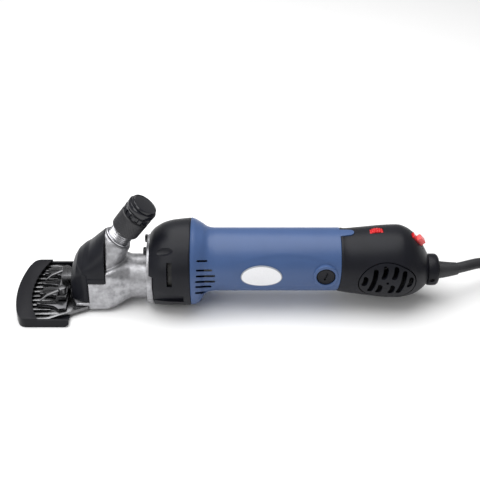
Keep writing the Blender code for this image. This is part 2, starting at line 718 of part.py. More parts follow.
def brush_gear(side, suffix):
    flip = Matrix.Scale(side, 4, (0, 1, 0))
    holder = moved(ring_piece(10.4, 20.4, 3.9, 5.1, 20, "Y"), flip)
    at(add_piece("brush_holder_" + suffix, holder, "brass"), (BRUSH_X, 0, MOTOR_Z))
    brush = moved(box((-2.5, 8.9, -2.5), (2.5, 17.5, 2.5)), flip)
    at(add_piece("carbon_brush_" + suffix, brush, "carbon"), (BRUSH_X, 0, MOTOR_Z))
    cap = turned([(21.0, 0), (21.0, 6.95), (24.2, 6.95), (24.6, 6.5), (24.6, 0)], 20, "Y")
    piece = add_piece("brush_cap_" + suffix, moved(cap, flip), "black_plastic")
    at(piece, (BRUSH_X, 0, MOTOR_Z))
    slot = moved(box((-0.8, 23.4, -5.2), (0.8, 30.0, 5.2)), flip)
    cut(piece, tool(slot))


def label_plate():
    """A blank oval plate on the near side of the grip, curved with it."""
    sleeve = ring_piece(0, 50, GRIP_R + GAP, GRIP_R + 0.8, SHELL_SIDES, "X")
    piece = add_piece("label_plate", moved(sleeve, shift(z=MOTOR_Z)), "label_white")
    oval = prism([(LABEL_X + 15.7 * x, 9.1 * y) for x, y in circle(1, 24)], 10, 40)
    upright = moved(oval, Matrix.Rotation(pi / 2, 4, "X"), shift(z=MOTOR_Z))
    return combine(piece, [tool(upright)], "INTERSECT")


# Rear cover, and what it carries

COVER_OUTSIDE = ((88.7, 24.8, 35.1), (106.0, 26.85, 34.5), (126.0, 28.3, 34.4), (133.5, 27.5, 34.1),
                 (139.5, 25.2, 32.9), (145.5, 20.8, 31.0), (149.5, 16.5, 29.4), (COVER_END, 12.6, 28.0))
GRILLE_X = 119.0
GRILLE_Z = 34.4
GRILLE_TILT = radians(-8)
# Each slot's place along the tool, and its lower and upper end
GRILLE_SLOTS = ((-17.5, -4.5, 5.0), (-11.0, -11.0, 11.5), (-3.8, 3.5, 13.5), (-4.6, -13.5, -4.0),
                (3.8, 3.5, 13.5), (4.6, -13.5, -4.0), (11.2, -11.5, 11.0), (17.6, -5.0, 4.5))


def cover_surface(inset, front_gap=GAP):
    """The rings of the cover's outer surface, moved inwards."""
    front = housing_ring(HOUSING_REAR + front_gap, GRIP_R - inset, 36.0, True)
    rest = [round_ring(x, r - inset, z) for x, r, z in COVER_OUTSIDE]
    return [front] + rest


def grille_oval(grow, low, high, side):
    """An oval prism through the cover's side."""
    outline = [((21.75 + grow) * x, (17.2 + grow) * y) for x, y in circle(1, 28)]
    bm = prism(outline, low, high)
    # Drawn along Z: lay it along Y, lean it about X, and mirror it for the far side.
    return moved(bm, Matrix.Rotation(-pi / 2, 4, "X"), Matrix.Rotation(GRILLE_TILT, 4, "X"),
                 Matrix.Scale(side, 4, (0, 1, 0)), shift(GRILLE_X, 0, GRILLE_Z))


def switch_frame():
    return Matrix.Translation(SWITCH_CENTRE) @ Matrix.Rotation(SWITCH_SLOPE, 4, "Y")


def rear_cover():
    piece = add_piece("rear_cover", skin(cover_surface(0.0)), "black_plastic")
    pad = moved(box((-8.6, -5.8, -12.0), (8.6, 5.8, 0.0)), switch_frame())
    join(piece, tool(pad))
    hollow = cover_surface(WALL, front_gap=-5.0)[:-1]
    cut(
        piece,
        tool(skin(hollow)),
        tool(moved(box((-7.8, -5.2, 0.0), (7.8, 5.2, 12.0)), switch_frame())),
        tool(moved(box((-6.9, -4.4, -30.0), (6.9, 4.4, 5.0)), switch_frame())),
        tool(moved(rod(-3.5, 3.5, DIAL_R + 0.4, 32, "Y"), shift(DIAL_X, 0, DIAL_Z))),
        tool(grille_oval(GAP, 5.0, 40.0, -1)),
        tool(grille_oval(GAP, 5.0, 40.0, 1)),
        tool(moved(rod(140.0, 160.0, 4.8, 16, "X"), shift(z=26.2))),
    )
    return piece


def vent_grille(name, side):
    """An oval insert with leaning slots, cut from the cover's own wall."""
    outer = cover_surface(0.0)[1:-2]
    inner = cover_surface(WALL)[1:-2]
    piece = add_piece(name, skin(outer + inner[::-1], loop=True), "black_plastic")
    combine(piece, [tool(grille_oval(0.0, 5.0, 40.0, side))], "INTERSECT")
    for offset, low, high in GRILLE_SLOTS:
        slot = moved(box((-1.7, 5.0, low), (1.7, 40.0, high)), Matrix.Rotation(radians(12), 4, "Y"),
                     shift(x=offset), Matrix.Rotation(GRILLE_TILT, 4, "X"),
                     Matrix.Scale(side, 4, (0, 1, 0)), shift(GRILLE_X, 0, GRILLE_Z))
        cut(piece, tool(slot))
    return piece


def switch(rocker_axis):
    body = add_piece("switch_body", moved(box((-6.5, -4.0, -13.0), (6.5, 4.0, -1.0)), switch_frame()),
                     "black_plastic")
    bezel = moved(box((-7.5, -4.9, 0.3), (7.5, 4.9, 0.9)), switch_frame())
    stem = moved(box((-6.5, -4.0, -2.0), (6.5, 4.0, 0.8)), switch_frame())
    join(body, tool(stem), tool(bezel))
    cut(body, tool(moved(box((-6.1, -3.5, -4.5), (6.1, 3.5, 5.0)), switch_frame())))
    # Side view of the rocker in the switch's own X and Z: low in front, raised behind
    side_view = [(-5.2, 2.5), (-5.2, -0.4), (-2.0, -1.6), (2.0, -1.6), (5.2, -0.4), (5.2, 5.2),
                 (-0.6, 5.2), (-1.4, 3.6)]
    rings = [[(x, y, z) for x, z in side_view] for y in (-3.2, 3.2)]
    add_piece("switch_rocker", skin(rings), "red_plastic", rocker_axis)


def speed_dial(parent):
    """A thumbwheel with a toothed rim, its axis across the tool."""
    rim = star_outline(14, DIAL_R - 0.45, DIAL_R, 0.6)
    wheel = moved(prism(rim, -3.0, 3.0), Matrix.Rotation(pi / 2, 4, "X"))
    return cut(add_piece("speed_dial", wheel, "red_plastic", parent), tool(rod(-5, 5, 1.8, 12, "Y")))


def cord_gland():
    profile = [(152.5, 5.0), (152.5, 11.6), (154.0, 12.4), (158.5, 12.4), (160.8, 11.4), (161.6, 9.6),
               (161.6, 7.4), (154.2, 7.4), (154.2, 5.0)]
    piece = add_piece("cord_gland", turned(profile, 20, "X", loop=True), "black_plastic")
    at(piece, (0, 0, 26.2))
    screw_hole = moved(rod(9.0, 20.0, 2.0, 12, "Y"), Matrix.Rotation(radians(-10), 4, "X"),
                       Matrix.Scale(-1, 4, (0, 1, 0)), shift(x=155.6))
    cut(piece, tool(screw_hole))
    screw = moved(turned([(9.2, 1.7), (11.4, 1.7)], 12, "Y"), Matrix.Rotation(radians(-10), 4, "X"),
                  Matrix.Scale(-1, 4, (0, 1, 0)))
    at(add_piece("gland_screw", screw, "black_steel"), (155.6, 0, 26.2))


# Cord: straight out of the gland, then down beside the coil that holds the rest of it

RELIEF_END = Vector((176.2, 1.9, 25.7))
RELIEF_HEADING = radians(18)
CORD_ROUTE = ((176.65, 2.05, 25.7), (182.0, 4.0, 25.7), (188.0, 7.0, 25.3), (194.0, 10.6, 24.3),
              (200.5, 14.6, 22.3), (208.2, 19.2, 19.3), (215.9, 23.9, 15.8), (223.6, 28.5, 12.1),
              (225.2, 29.4, 11.3))


def strain_relief():
    """A tapered sleeve that starts inside the gland and bends a little towards the cord."""
    rings = []
    start = Vector((154.6, 0.0, 25.9))
    straight = 0.3  # the share of its length that stays straight and thick
    for t in (0.0, straight, 0.45, 0.6, 0.75, 0.9, 1.0):
        bent = max(0.0, (t - straight) / (1 - straight))
        swing = RELIEF_HEADING * bent
        centre = start.lerp(RELIEF_END, t)
        centre.y = RELIEF_END.y * bent ** 1.8
        radius = 7.0 - 2.2 * bent
        side = Vector((-sin(swing), cos(swing), 0))
        rings.append([centre + radius * (x * side + z * Vector((0, 0, 1))) for x, z in circle(1, 16)])
    return add_piece("strain_relief", skin(rings), "cord_rubber")


def smooth_route(points, spacing):
    """Points at an even spacing along a Catmull-Rom curve through the route."""
    route = [Vector(p) for p in points]
    padded = [2 * route[0] - route[1]] + route + [2 * route[-1] - route[-2]]
    fine = []
    for a, b, c, d in zip(padded, padded[1:], padded[2:], padded[3:]):
        for k in range(12):
            t = k / 12
            fine.append(0.5 * (2 * b + t * (c - a) + t * t * (2 * a - 5 * b + 4 * c - d)
                               + t * t * t * (3 * b - a - 3 * c + d)))
    fine.append(route[-1])
    total = sum((q - p).length for p, q in zip(fine, fine[1:]))
    count = max(2, round(total / spacing))
    result, travelled, k = [fine[0]], 0.0, 0
    for step in range(1, count):
        goal = total * step / count
        while travelled + (fine[k + 1] - fine[k]).length < goal:
            travelled += (fine[k + 1] - fine[k]).length
            k += 1
        length = (fine[k + 1] - fine[k]).length
        result.append(fine[k].lerp(fine[k + 1], (goal - travelled) / length))
    return result + [fine[-1]]


def cord_tube(name, points):
    curve = bpy.data.curves.new(name, "CURVE")
    curve.dimensions = "3D"
    curve.bevel_depth = CORD_R * MM
    curve.bevel_resolution = 3
    curve.use_fill_caps = True
    spline = curve.splines.new("POLY")
    spline.points.add(len(points) - 1)
    for spot, point in zip(spline.points, points):
        spot.co = (*(Vector(point) * MM), 1.0)
    piece = bpy.data.objects.new(name, curve)
    piece.data.materials.append(MATERIALS["cord_rubber"])
    bpy.context.scene.collection.objects.link(piece)
    return piece


def cord_coil():
    """The outer shape of the wound turns. The top layer has fewer turns, and its inside is open."""
    soft = CORD_R * 0.8
    profile = [(0, COIL_INNER + soft), (0, COIL_OUTER - soft), (soft, COIL_OUTER),
               (COIL_HEIGHT - soft, COIL_OUTER), (COIL_HEIGHT, COIL_OUTER - soft),
               (COIL_HEIGHT, LAST_TURN_R), (4 * CORD_R, COIL_INNER + soft),
               (4 * CORD_R - soft, COIL_INNER), (soft, COIL_INNER)]
    return at(add_piece("cord_coil", turned(profile, 28, loop=True), "cord_rubber"), COIL_CENTRE)


def plug():
    """A two-pin plug lying on the coil, its boot towards the cord's last turn."""
    outline = [(0, 4.9), (11, 6.4), (13, 9.0), (20, 12.5), (34, 13.0), (37, 11.5)]
    thickest = 8.2
    rings = []
    for x, half_width in outline:
        half_height = min(half_width, thickest)
        rings.append(soft_box_ring(x, half_width, -half_height, half_height, 0.9 * half_height, 4))
    piece = add_piece("plug", skin(rings), "black_plastic")
    for y in (-9.5, 9.5):
        join(piece, tool(moved(turned([(36.0, 2.4), (54.0, 2.4), (55.5, 1.2)], 10, "X"), shift(y=y))))
    straight = 6.0
    radial = Vector((cos(LAST_TURN_ANGLE), sin(LAST_TURN_ANGLE), 0))
    ahead = Vector((sin(LAST_TURN_ANGLE), -cos(LAST_TURN_ANGLE), 0))
    spot = COIL_CENTRE + LAST_TURN_R * radial + straight * ahead
    return at(piece, (spot.x, spot.y, COIL_HEIGHT + GAP + thickest), (0, 0, LAST_TURN_ANGLE - pi / 2))


def build():
    gearbox_head()
    head_cover()
    comb()
    for suffix, place in zip(("left", "right"), COMB_SCREWS):
        comb_screw("comb_screw_" + suffix, place)
    post = turned([(7.1, 4.0), (12.0, 4.0), (12.0, 3.0), (16.2, 3.0), (17.4, 1.8), (17.7, 0)], 16)
    at(add_piece("fulcrum_post", post, "machined_steel"), FULCRUM)

    crank_axis = axis_empty("crank_axis", (0, 0, CRANK_Z))
    crankshaft(crank_axis)
    driven_gear(crank_axis)
    roller = moved(ring_piece(*ROLLER_X, 2.1, 3.6, 16, "X"), shift(z=CRANK_THROW))
    add_piece("crank_roller", roller, "machined_steel", crank_axis)
    at(bearing("crank_bearing_front", -73.6, -66.0, 6.3, 12.7), (0, 0, CRANK_Z))
    at(bearing("crank_bush_rear", -46.9, -41.2, 3.8, 5.9, finish="brass"), (0, 0, CRANK_Z))

    fork_axis = axis_empty("fork_axis", FULCRUM)
    fork(fork_axis)
    fork_foot("fork_foot_left", -1, fork_axis)
    fork_foot("fork_foot_right", 1, fork_axis)
    cutter(fork_axis)

    lean = (0, KNOB_LEAN, 0)
    tension_base = axis_empty("tension_base", KNOB_FOOT, lean)
    tension_parts(tension_base, axis_empty("plunger_axis", KNOB_FOOT, lean),
                  axis_empty("knob_axis", KNOB_FOOT, lean))

    gear_housing()
    for suffix, place in zip(("left", "right"), UPPER_SCREWS):
        flange_screw("flange_screw_upper_" + suffix, place, True)
    for suffix, place in zip(("left", "right"), LOWER_SCREWS):
        flange_screw("flange_screw_lower_" + suffix, place, False)
    bearing_plate()

    motor_axis = axis_empty("motor_axis", (0, 0, MOTOR_Z))
    armature(motor_axis)
    at(bearing("armature_bearing_front", -46.5, -41.3, 3.3, 8.3), (0, 0, MOTOR_Z))
    at(bearing("armature_bearing_rear", 84.0, 90.0, 3.3, 8.3), (0, 0, MOTOR_Z))
    stator()
    motor_housing()
    for side, suffix in ((-1, "left"), (1, "right")):
        brush_gear(side, suffix)
    label_plate()

    rear_cover()
    vent_grille("vent_grille_left", -1)
    vent_grille("vent_grille_right", 1)
    switch(axis_empty("switch_axis", SWITCH_CENTRE, (0, SWITCH_SLOPE, 0)))
    speed_dial(axis_empty("dial_axis", (DIAL_X, 0, DIAL_Z)))
    add_piece("speed_control_board", box((98, -9, 40.0), (128, 9, 41.6)), "circuit_board")
    cord_gland()
    strain_relief()
    cord_tube("power_cord", smooth_route(CORD_ROUTE, 1.5 * 2 * CORD_R))
    cord_coil()
    plug()
    blade_guard(axis_empty("guard_axis", (0, 0, 0)))

    for thing in bpy.data.objects:
        if thing.parent is None:
            thing.location.x += ORIGIN_SHIFT * MM


for thing in list(bpy.data.objects):
    bpy.data.objects.remove(thing)
MATERIALS = {name: material(name, *finish) for name, finish in FINISHES.items()}
build()
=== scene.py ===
"""The looks of the electric sheep shears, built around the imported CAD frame.

Shapes are drawn in millimetres on the CAD drawing's own axes: the motor's axis runs along X, Z = 0
is the bench, and X = 0 is where the frame's rotor_spin joint stands. put() turns a shape into metres.
"""

import json
from math import atan2, cos, degrees, hypot, pi, radians, sin, sqrt

import bmesh
import bpy
from mathutils import Matrix, Vector


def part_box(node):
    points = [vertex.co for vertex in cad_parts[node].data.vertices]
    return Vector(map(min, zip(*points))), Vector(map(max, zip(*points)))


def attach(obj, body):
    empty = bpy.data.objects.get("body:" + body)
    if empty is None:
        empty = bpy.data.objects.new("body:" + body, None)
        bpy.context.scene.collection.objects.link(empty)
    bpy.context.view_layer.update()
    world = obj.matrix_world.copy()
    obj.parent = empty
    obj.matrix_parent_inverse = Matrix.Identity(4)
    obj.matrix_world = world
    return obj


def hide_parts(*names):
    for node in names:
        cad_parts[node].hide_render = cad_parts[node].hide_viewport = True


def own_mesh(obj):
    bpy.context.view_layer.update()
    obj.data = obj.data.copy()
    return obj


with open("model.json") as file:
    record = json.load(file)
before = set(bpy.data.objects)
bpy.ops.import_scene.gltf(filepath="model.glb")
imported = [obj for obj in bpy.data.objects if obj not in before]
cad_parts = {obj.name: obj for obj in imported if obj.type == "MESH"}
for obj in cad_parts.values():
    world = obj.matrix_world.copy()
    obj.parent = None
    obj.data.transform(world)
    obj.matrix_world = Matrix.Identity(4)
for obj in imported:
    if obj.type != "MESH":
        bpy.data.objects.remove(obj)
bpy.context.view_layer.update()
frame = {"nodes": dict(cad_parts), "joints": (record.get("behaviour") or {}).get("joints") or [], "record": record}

MM = 0.001
GAP = 0.3  # between pieces that touch
JOINTS = {joint["name"]: joint for joint in frame["joints"]}
ORIGIN = Vector((JOINTS["rotor_spin"]["pos_m"][0], 0, 0))


def drawn(place):
    """A place in the frame, in the drawing's millimetres."""
    return (Vector(place) - ORIGIN) / MM


def joint_place(name):
    return drawn(JOINTS[name]["pos_m"])


def low(node):
    """The lowest corner of a node's box."""
    return drawn(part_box(node)[0])


def high(node):
    """The highest corner of a node's box."""
    return drawn(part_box(node)[1])


MOTOR_Z = joint_place("rotor_spin").z
CRANK_Z = joint_place("crank_spin").z
FULCRUM_X = joint_place("fork_swing").x
KNOB_FOOT = joint_place("tension_turn")
KNOB_AXIS = Vector(JOINTS["tension_turn"]["axis"])
KNOB_LEAN = atan2(KNOB_AXIS.x, KNOB_AXIS.z)
SWITCH_CENTRE = joint_place("switch_rock")
SWITCH_SLOPE = radians(47)
DIAL = joint_place("dial_turn")

# The shells
SIDES = 120
WALL = 2.3
GRIP_R = 24.5
HOUSING_FRONT = -30.05
HOUSING_REAR = 84.0
FLANGE_X = (-63.9, -58.9)
FLANGE_Z = 27.4
FLANGE_R = 26.9


# Materials

def feed(node, values):
    for name, value in values.items():
        node.inputs[name].default_value = value


def surface(name, colour, roughness, metallic=0.0, mottle=(60, 0.08), grain=(1500, 0.02), stretch=(1, 1, 1),
            roughness_change=0.06, coat=0.0, specular=0.5):
    """A shader whose colour and roughness vary softly, with a fine bump.

    mottle is the colour noise's scale and share; grain is the bump's scale and its depth in millimetres.
    """
    made = bpy.data.materials.new(name)
    made.use_nodes = True
    nodes, links = made.node_tree.nodes, made.node_tree.links
    shader = nodes["Principled BSDF"]
    feed(shader, {"Metallic": metallic, "Coat Weight": coat, "Coat Roughness": 0.12,
                  "Specular IOR Level": specular})
    coordinates = nodes.new("ShaderNodeTexCoord")
    mapping = nodes.new("ShaderNodeMapping")
    feed(mapping, {"Scale": stretch})
    links.new(coordinates.outputs["Object"], mapping.inputs["Vector"])

    def noise(scale, detail):
        node = nodes.new("ShaderNodeTexNoise")
        feed(node, {"Scale": scale, "Detail": detail})
        links.new(mapping.outputs["Vector"], node.inputs["Vector"])
        return node.outputs["Fac"]

    def ranged(source, low_end, high_end):
        node = nodes.new("ShaderNodeMapRange")
        feed(node, {"From Min": 0.3, "From Max": 0.7, "To Min": low_end, "To Max": high_end})
        links.new(source, node.inputs["Value"])
        return node.outputs["Result"]

    broad = noise(mottle[0], 4)
    fine = noise(grain[0], 3)
    tint = nodes.new("ShaderNodeMix")
    tint.data_type = "RGBA"
    feed(tint, {"A": (*[c * (1 - mottle[1]) for c in colour], 1),
                "B": (*[min(1, c * (1 + mottle[1])) for c in colour], 1)})
    links.new(ranged(broad, 0, 1), tint.inputs["Factor"])
    links.new(tint.outputs["Result"], shader.inputs["Base Color"])
    rough = ranged(fine, roughness - roughness_change, roughness + roughness_change)
    links.new(rough, shader.inputs["Roughness"])
    bump = nodes.new("ShaderNodeBump")
    feed(bump, {"Distance": grain[1] * MM, "Strength": 0.6})
    links.new(fine, bump.inputs["Height"])
    links.new(bump.outputs["Normal"], shader.inputs["Normal"])
    made.diffuse_color = (*colour, 1)
    return made


LOOKS = {
    "cast_aluminium": surface("cast_aluminium", (0.36, 0.36, 0.375), 0.42, 0.85, (260, 0.28), (800, 0.2),
                              roughness_change=0.1),
    "black_plastic": surface("black_plastic", (0.007, 0.0075, 0.011), 0.4, 0, (90, 0.15), (1800, 0.03),
                             specular=0.2),
    "blue_plastic": surface("blue_plastic", (0.046, 0.09, 0.215), 0.38, 0, (45, 0.05), (1700, 0.03),
                            specular=0.4),
    "guard_plastic": surface("guard_plastic", (0.0065, 0.0065, 0.009), 0.36, 0, (80, 0.15), (1500, 0.02),
                             specular=0.18),
    # Its base colour is darkened as painted shade, for the comb in the shade of the guard.
    "blade_steel": surface("blade_steel", (0.17, 0.17, 0.175), 0.26, 1, (140, 0.12), (700, 0.02), (6, 1, 1)),
    "machined_steel": surface("machined_steel", (0.5, 0.5, 0.52), 0.3, 1, (160, 0.1), (1100, 0.02)),
    "black_steel": surface("black_steel", (0.03, 0.03, 0.032), 0.36, 0.9, (200, 0.2), (1400, 0.02)),
    "lamination_steel": surface("lamination_steel", (0.3, 0.3, 0.31), 0.5, 1, (200, 0.15), (500, 0.08),
                                (8, 0.4, 0.4)),
    "copper": surface("copper", (0.72, 0.3, 0.13), 0.34, 1, (150, 0.15), (500, 0.1), (1, 4, 4)),
    "brass": surface("brass", (0.72, 0.55, 0.25), 0.32, 1, (120, 0.1), (1300, 0.02)),
    "carbon": surface("carbon", (0.035, 0.035, 0.036), 0.6, 0, (300, 0.2), (1500, 0.04)),
    "nylon": surface("nylon", (0.78, 0.76, 0.68), 0.45, 0, (70, 0.04), (1500, 0.02)),
    "red_plastic": surface("red_plastic", (0.55, 0.008, 0.012), 0.3, 0, (90, 0.06), (1600, 0.015)),
    "label_white": surface("label_white", (0.8, 0.8, 0.82), 0.3, 0, (40, 0.02), (1200, 0.008), coat=0.4),
    "circuit_board": surface("circuit_board", (0.02, 0.16, 0.06), 0.4, 0, (150, 0.2), (900, 0.05)),
    "cord_rubber": surface("cord_rubber", (0.02, 0.02, 0.023), 0.5, 0, (100, 0.15), (1500, 0.03)),
}
# Looks that only some pieces of a slot have. The last one is for a CAD node.
EXTRA_LOOKS = {
    # A lighter copy of the red plastic: a painted highlight on the rocker's raised block.
    "red_plastic_painted_highlight": surface("red_plastic_painted_highlight", (0.85, 0.12, 0.12), 0.32, 0, (90, 0.05), (1600, 0.015)),
    "knurled_black": surface("knurled_black", (0.013, 0.013, 0.016), 0.36, 0, (140, 0.25), (1500, 0.03)),
    "polished_black": surface("polished_black", (0.007, 0.0075, 0.011), 0.2, 0, (90, 0.15), (1800, 0.01)),
    "strap": surface("strap", (0.03, 0.03, 0.032), 0.85, 0, (300, 0.3), (2200, 0.15)),
    "shaded_steel": surface("shaded_steel", (0.09, 0.09, 0.095), 0.25, 1, (150, 0.15), (900, 0.02)),
    # The fork's steel, darkened as painted shade for its place under the hood.
    "fork_steel_painted_shade": surface("fork_steel_painted_shade", (0.13, 0.13, 0.135), 0.3, 1, (150, 0.15), (900, 0.03)),
    # Painted shade: a dark look for the bearing plate, whose rim shows through the gear case's slots.
    "painted_shade_cast": surface("painted_shade_cast", (0.02, 0.02, 0.02), 0.5, 0.3, (200, 0.2), (900, 0.05)),
    "label_rim": surface("label_rim", (0.3, 0.32, 0.36), 0.4, 0, (40, 0.05), (1200, 0.01)),
}


# Mesh helpers

def put(bm, sharp=32):
    """The drawn shape as a mesh in the frame's metres."""
    bmesh.ops.remove_doubles(bm, verts=bm.verts, dist=1e-4)
    bmesh.ops.recalc_face_normals(bm, faces=bm.faces)
    bmesh.ops.transform(bm, matrix=Matrix.Translation(ORIGIN) @ Matrix.Scale(MM, 4), verts=bm.verts)
    mesh = bpy.data.meshes.new("shape")
    bm.to_mesh(mesh)
    bm.free()
    mesh.shade_smooth()
    mesh.set_sharp_from_angle(angle=radians(sharp))
    return mesh


def start(name, bm):
    """A new piece in the scene, from a drawn shape."""
    piece = bpy.data.objects.new(name, put(bm))
    bpy.context.scene.collection.objects.link(piece)
    return piece


def applied(piece, sharp=32):
    """Applies the piece's modifiers."""
    bpy.context.view_layer.update()
    graph = bpy.context.evaluated_depsgraph_get()
    result = bpy.data.meshes.new_from_object(piece.evaluated_get(graph))
    piece.modifiers.clear()
    old_mesh = piece.data
    piece.data = result
    bpy.data.meshes.remove(old_mesh)
    piece.data.shade_smooth()
    piece.data.set_sharp_from_angle(angle=radians(sharp))
    return piece


def combine(piece, shapes, operation):
    for shape in shapes:
        helper = start("helper", shape)
        step = piece.modifiers.new("boolean", "BOOLEAN")
        step.operation = operation
        step.solver = "EXACT"
        step.object = helper
        applied(piece)
        bpy.data.objects.remove(helper)
    return piece


def cut(piece, *shapes):
    return combine(piece, shapes, "DIFFERENCE")


def join(piece, *shapes):
    return combine(piece, shapes, "UNION")


def merged(shapes):
    """Several shapes that don't overlap, as one."""
    whole = bmesh.new()
    for shape in shapes:
        mesh = bpy.data.meshes.new("shape")
        shape.to_mesh(mesh)
        shape.free()
        whole.from_mesh(mesh)
        bpy.data.meshes.remove(mesh)
    return whole


def soften(piece, voxel, rounds):
    """Rounds every edge, as on a casting."""
    remesh = piece.modifiers.new("remesh", "REMESH")
    remesh.mode = "VOXEL"
    remesh.voxel_size = voxel * MM
    smooth = piece.modifiers.new("smooth", "SMOOTH")
    smooth.factor = 0.5
    smooth.iterations = rounds
    return applied(piece, 60)


def bevel(piece, width, segments=2, angle=35):
    step = piece.modifiers.new("bevel", "BEVEL")
    step.width = width * MM
    step.segments = segments
    step.limit_method = "ANGLE"
    step.angle_limit = radians(angle)
    step.harden_normals = False
    return applied(piece, 40)


def finish(piece, look, body, *nodes):
    """Gives the piece its material and slot, and makes it ride on a body in place of CAD nodes."""
    piece.data.materials.clear()
    piece.data.materials.append(LOOKS.get(look) or EXTRA_LOOKS[look])
    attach(piece, body)
    if nodes:
        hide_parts(*nodes)
    return piece


def skin(rings, loop=False):
    """A closed surface through rings of equally many points. A loop joins its last ring to its first."""
    bm = bmesh.new()
    rows = [[bm.verts.new(point) for point in ring] for ring in rings]
    for near, far in zip(rows, rows[1:] + rows[:1] if loop else rows[1:]):
        count = len(near)
        for i in range(count):
            j = (i + 1) % count
            bm.faces.new((near[i], near[j], far[j], far[i]))
    if not loop:
        bm.faces.new(rows[0])
        bm.faces.new(rows[-1])
    return bm


def circle(radius, sides, centre=(0.0, 0.0)):
    return [(centre[0] + radius * cos(2 * pi * i / sides), centre[1] + radius * sin(2 * pi * i / sides))
            for i in range(sides)]


def spread(first, last, count):
    return [first + (last - first) * i / (count - 1) for i in range(count)]


def turned(profile, sides=48, along="Z", loop=False, wave=None):
    """A shape turned about an axis from (station, radius) points. wave adds to the radius."""
    bm = bmesh.new()
    rows = []
    for station, radius in profile:
        if radius == 0:
            rows.append([bm.verts.new((0, 0, station))])
            continue
        ring = []
        for i in range(sides):
            a = 2 * pi * i / sides
            r = radius + (wave(station, a) if wave else 0)
            ring.append(bm.verts.new((r * cos(a), r * sin(a), station)))
        rows.append(ring)
    for near, far in zip(rows, rows[1:] + rows[:1] if loop else rows[1:]):
        for i in range(sides):
            j = (i + 1) % sides
            corners = [near[i % len(near)], near[j % len(near)], far[j % len(far)], far[i % len(far)]]
            unique = list(dict.fromkeys(corners))
            if len(unique) > 2:
                bm.faces.new(unique)
    if not loop:
        for row in (rows[0], rows[-1]):
            if len(row) > 1:
                bm.faces.new(row)
    turn = {"Z": Matrix(), "X": Matrix.Rotation(pi / 2, 4, "Y"), "Y": Matrix.Rotation(-pi / 2, 4, "X")}
    bmesh.ops.transform(bm, matrix=turn[along], verts=bm.verts)
    return bm


def moved(bm, *steps):
    for step in steps:
        bmesh.ops.transform(bm, matrix=step, verts=bm.verts)
    return bm


def shift(x=0.0, y=0.0, z=0.0):
    return Matrix.Translation((x, y, z))


def turn(angle, axis):
    return Matrix.Rotation(radians(angle), 4, axis)


def across(side):
    """Mirrors a shape drawn for +Y to the side -1 or 1."""
    return Matrix.Scale(side, 4, (0, 1, 0))


def rod(first, last, radius, sides=32, along="Z"):
    return turned([(first, radius), (last, radius)], sides, along)


def box(first, last):
    (x0, y0, z0), (x1, y1, z1) = first, last
    return skin([[(x0, y0, z), (x1, y0, z), (x1, y1, z), (x0, y1, z)] for z in (z0, z1)])


def prism(outline, first, last):
    """An outline drawn in X and Y, raised from first to last along Z."""
    return skin([[(x, y, z) for x, y in outline] for z in (first, last)])


def slab(outline, half_width):
    """An outline drawn in X and Z, made half_width deep to both sides of Y = 0."""
    return skin([[(x, y, z) for x, z in outline] for y in (-half_width, half_width)])


def stadium(half_length, radius, bend=0.0, steps=8):
    """An outline with round ends, its long way along Y. bend bows its middle towards +X."""
    ends = []
    for sign in (1, -1):
        for a in spread(0, pi, steps):
            x, y = radius * cos(a), sign * (half_length - radius) + sign * radius * sin(a)
            ends.append((x if sign > 0 else -x, y))
    right = [(radius, y) for y in spread(-(half_length - radius), half_length - radius, 7)[1:-1]]
    left = [(-x, -y) for x, y in right]
    outline = ends[:steps] + left + ends[steps:] + right
    return [(x + bend * (1 - (y / half_length) ** 2), y) for x, y in outline]


def mirrored(half):
    """A half outline's points, then their mirror images in reverse."""
    return half + [(x, -y) for x, y in reversed(half)]


def arc_x(front, radius, y):
    """The X, at y, of an arc whose foremost point stands at front."""
    return front + radius - sqrt(radius * radius - y * y)


def eased(table, step):
    """Rows along a smooth curve through a table whose first column grows."""
    rows = [Vector(row) for row in table]
    ends = [2 * rows[0] - rows[1]] + rows + [2 * rows[-1] - rows[-2]]
    fine = []
    for a, b, c, d in zip(ends, ends[1:], ends[2:], ends[3:]):
        count = max(1, round((c[0] - b[0]) / step))
        for k in range(count):
            t = k / count
            fine.append(0.5 * (2 * b + t * (c - a) + t * t * (2 * a - 5 * b + 4 * c - d)
                               + t * t * t * (3 * b - a - 3 * c + d)))
    return [tuple(row) for row in fine + [rows[-1]]]


def round_ring(x, radius, centre_z):
    return [(x, y, z) for y, z in circle(radius, SIDES, (0.0, centre_z))]


def soft_box_ring(x, half_width, bottom, top, corner, per_corner=14):
    """A rectangle with round corners."""
    points = []
    corner = min(corner, half_width, (top - bottom) / 2)
    for k, (sy, sz) in enumerate(((1, 1), (-1, 1), (-1, -1), (1, -1))):
        centre_y = sy * (half_width - corner)
        centre_z = (top - corner) if sz > 0 else (bottom + corner)
        for a in spread(k * pi / 2, (k + 1) * pi / 2, per_corner):
            points.append((x, centre_y + corner * cos(a), centre_z + corner * sin(a)))
    return points


def knob_frame():
    return Matrix.Translation(KNOB_FOOT) @ Matrix.Rotation(KNOB_LEAN, 4, "Y")


def switch_frame():
    return Matrix.Translation(SWITCH_CENTRE) @ Matrix.Rotation(SWITCH_SLOPE, 4, "Y")


# Cast head, its cover and the tension knob

FLANGE_SCREWS_UPPER = ((-9.0, 49.3), (9.0, 49.3))
COMB_SCREWS = ((-117.5, -8.5), (-117.5, 8.5))


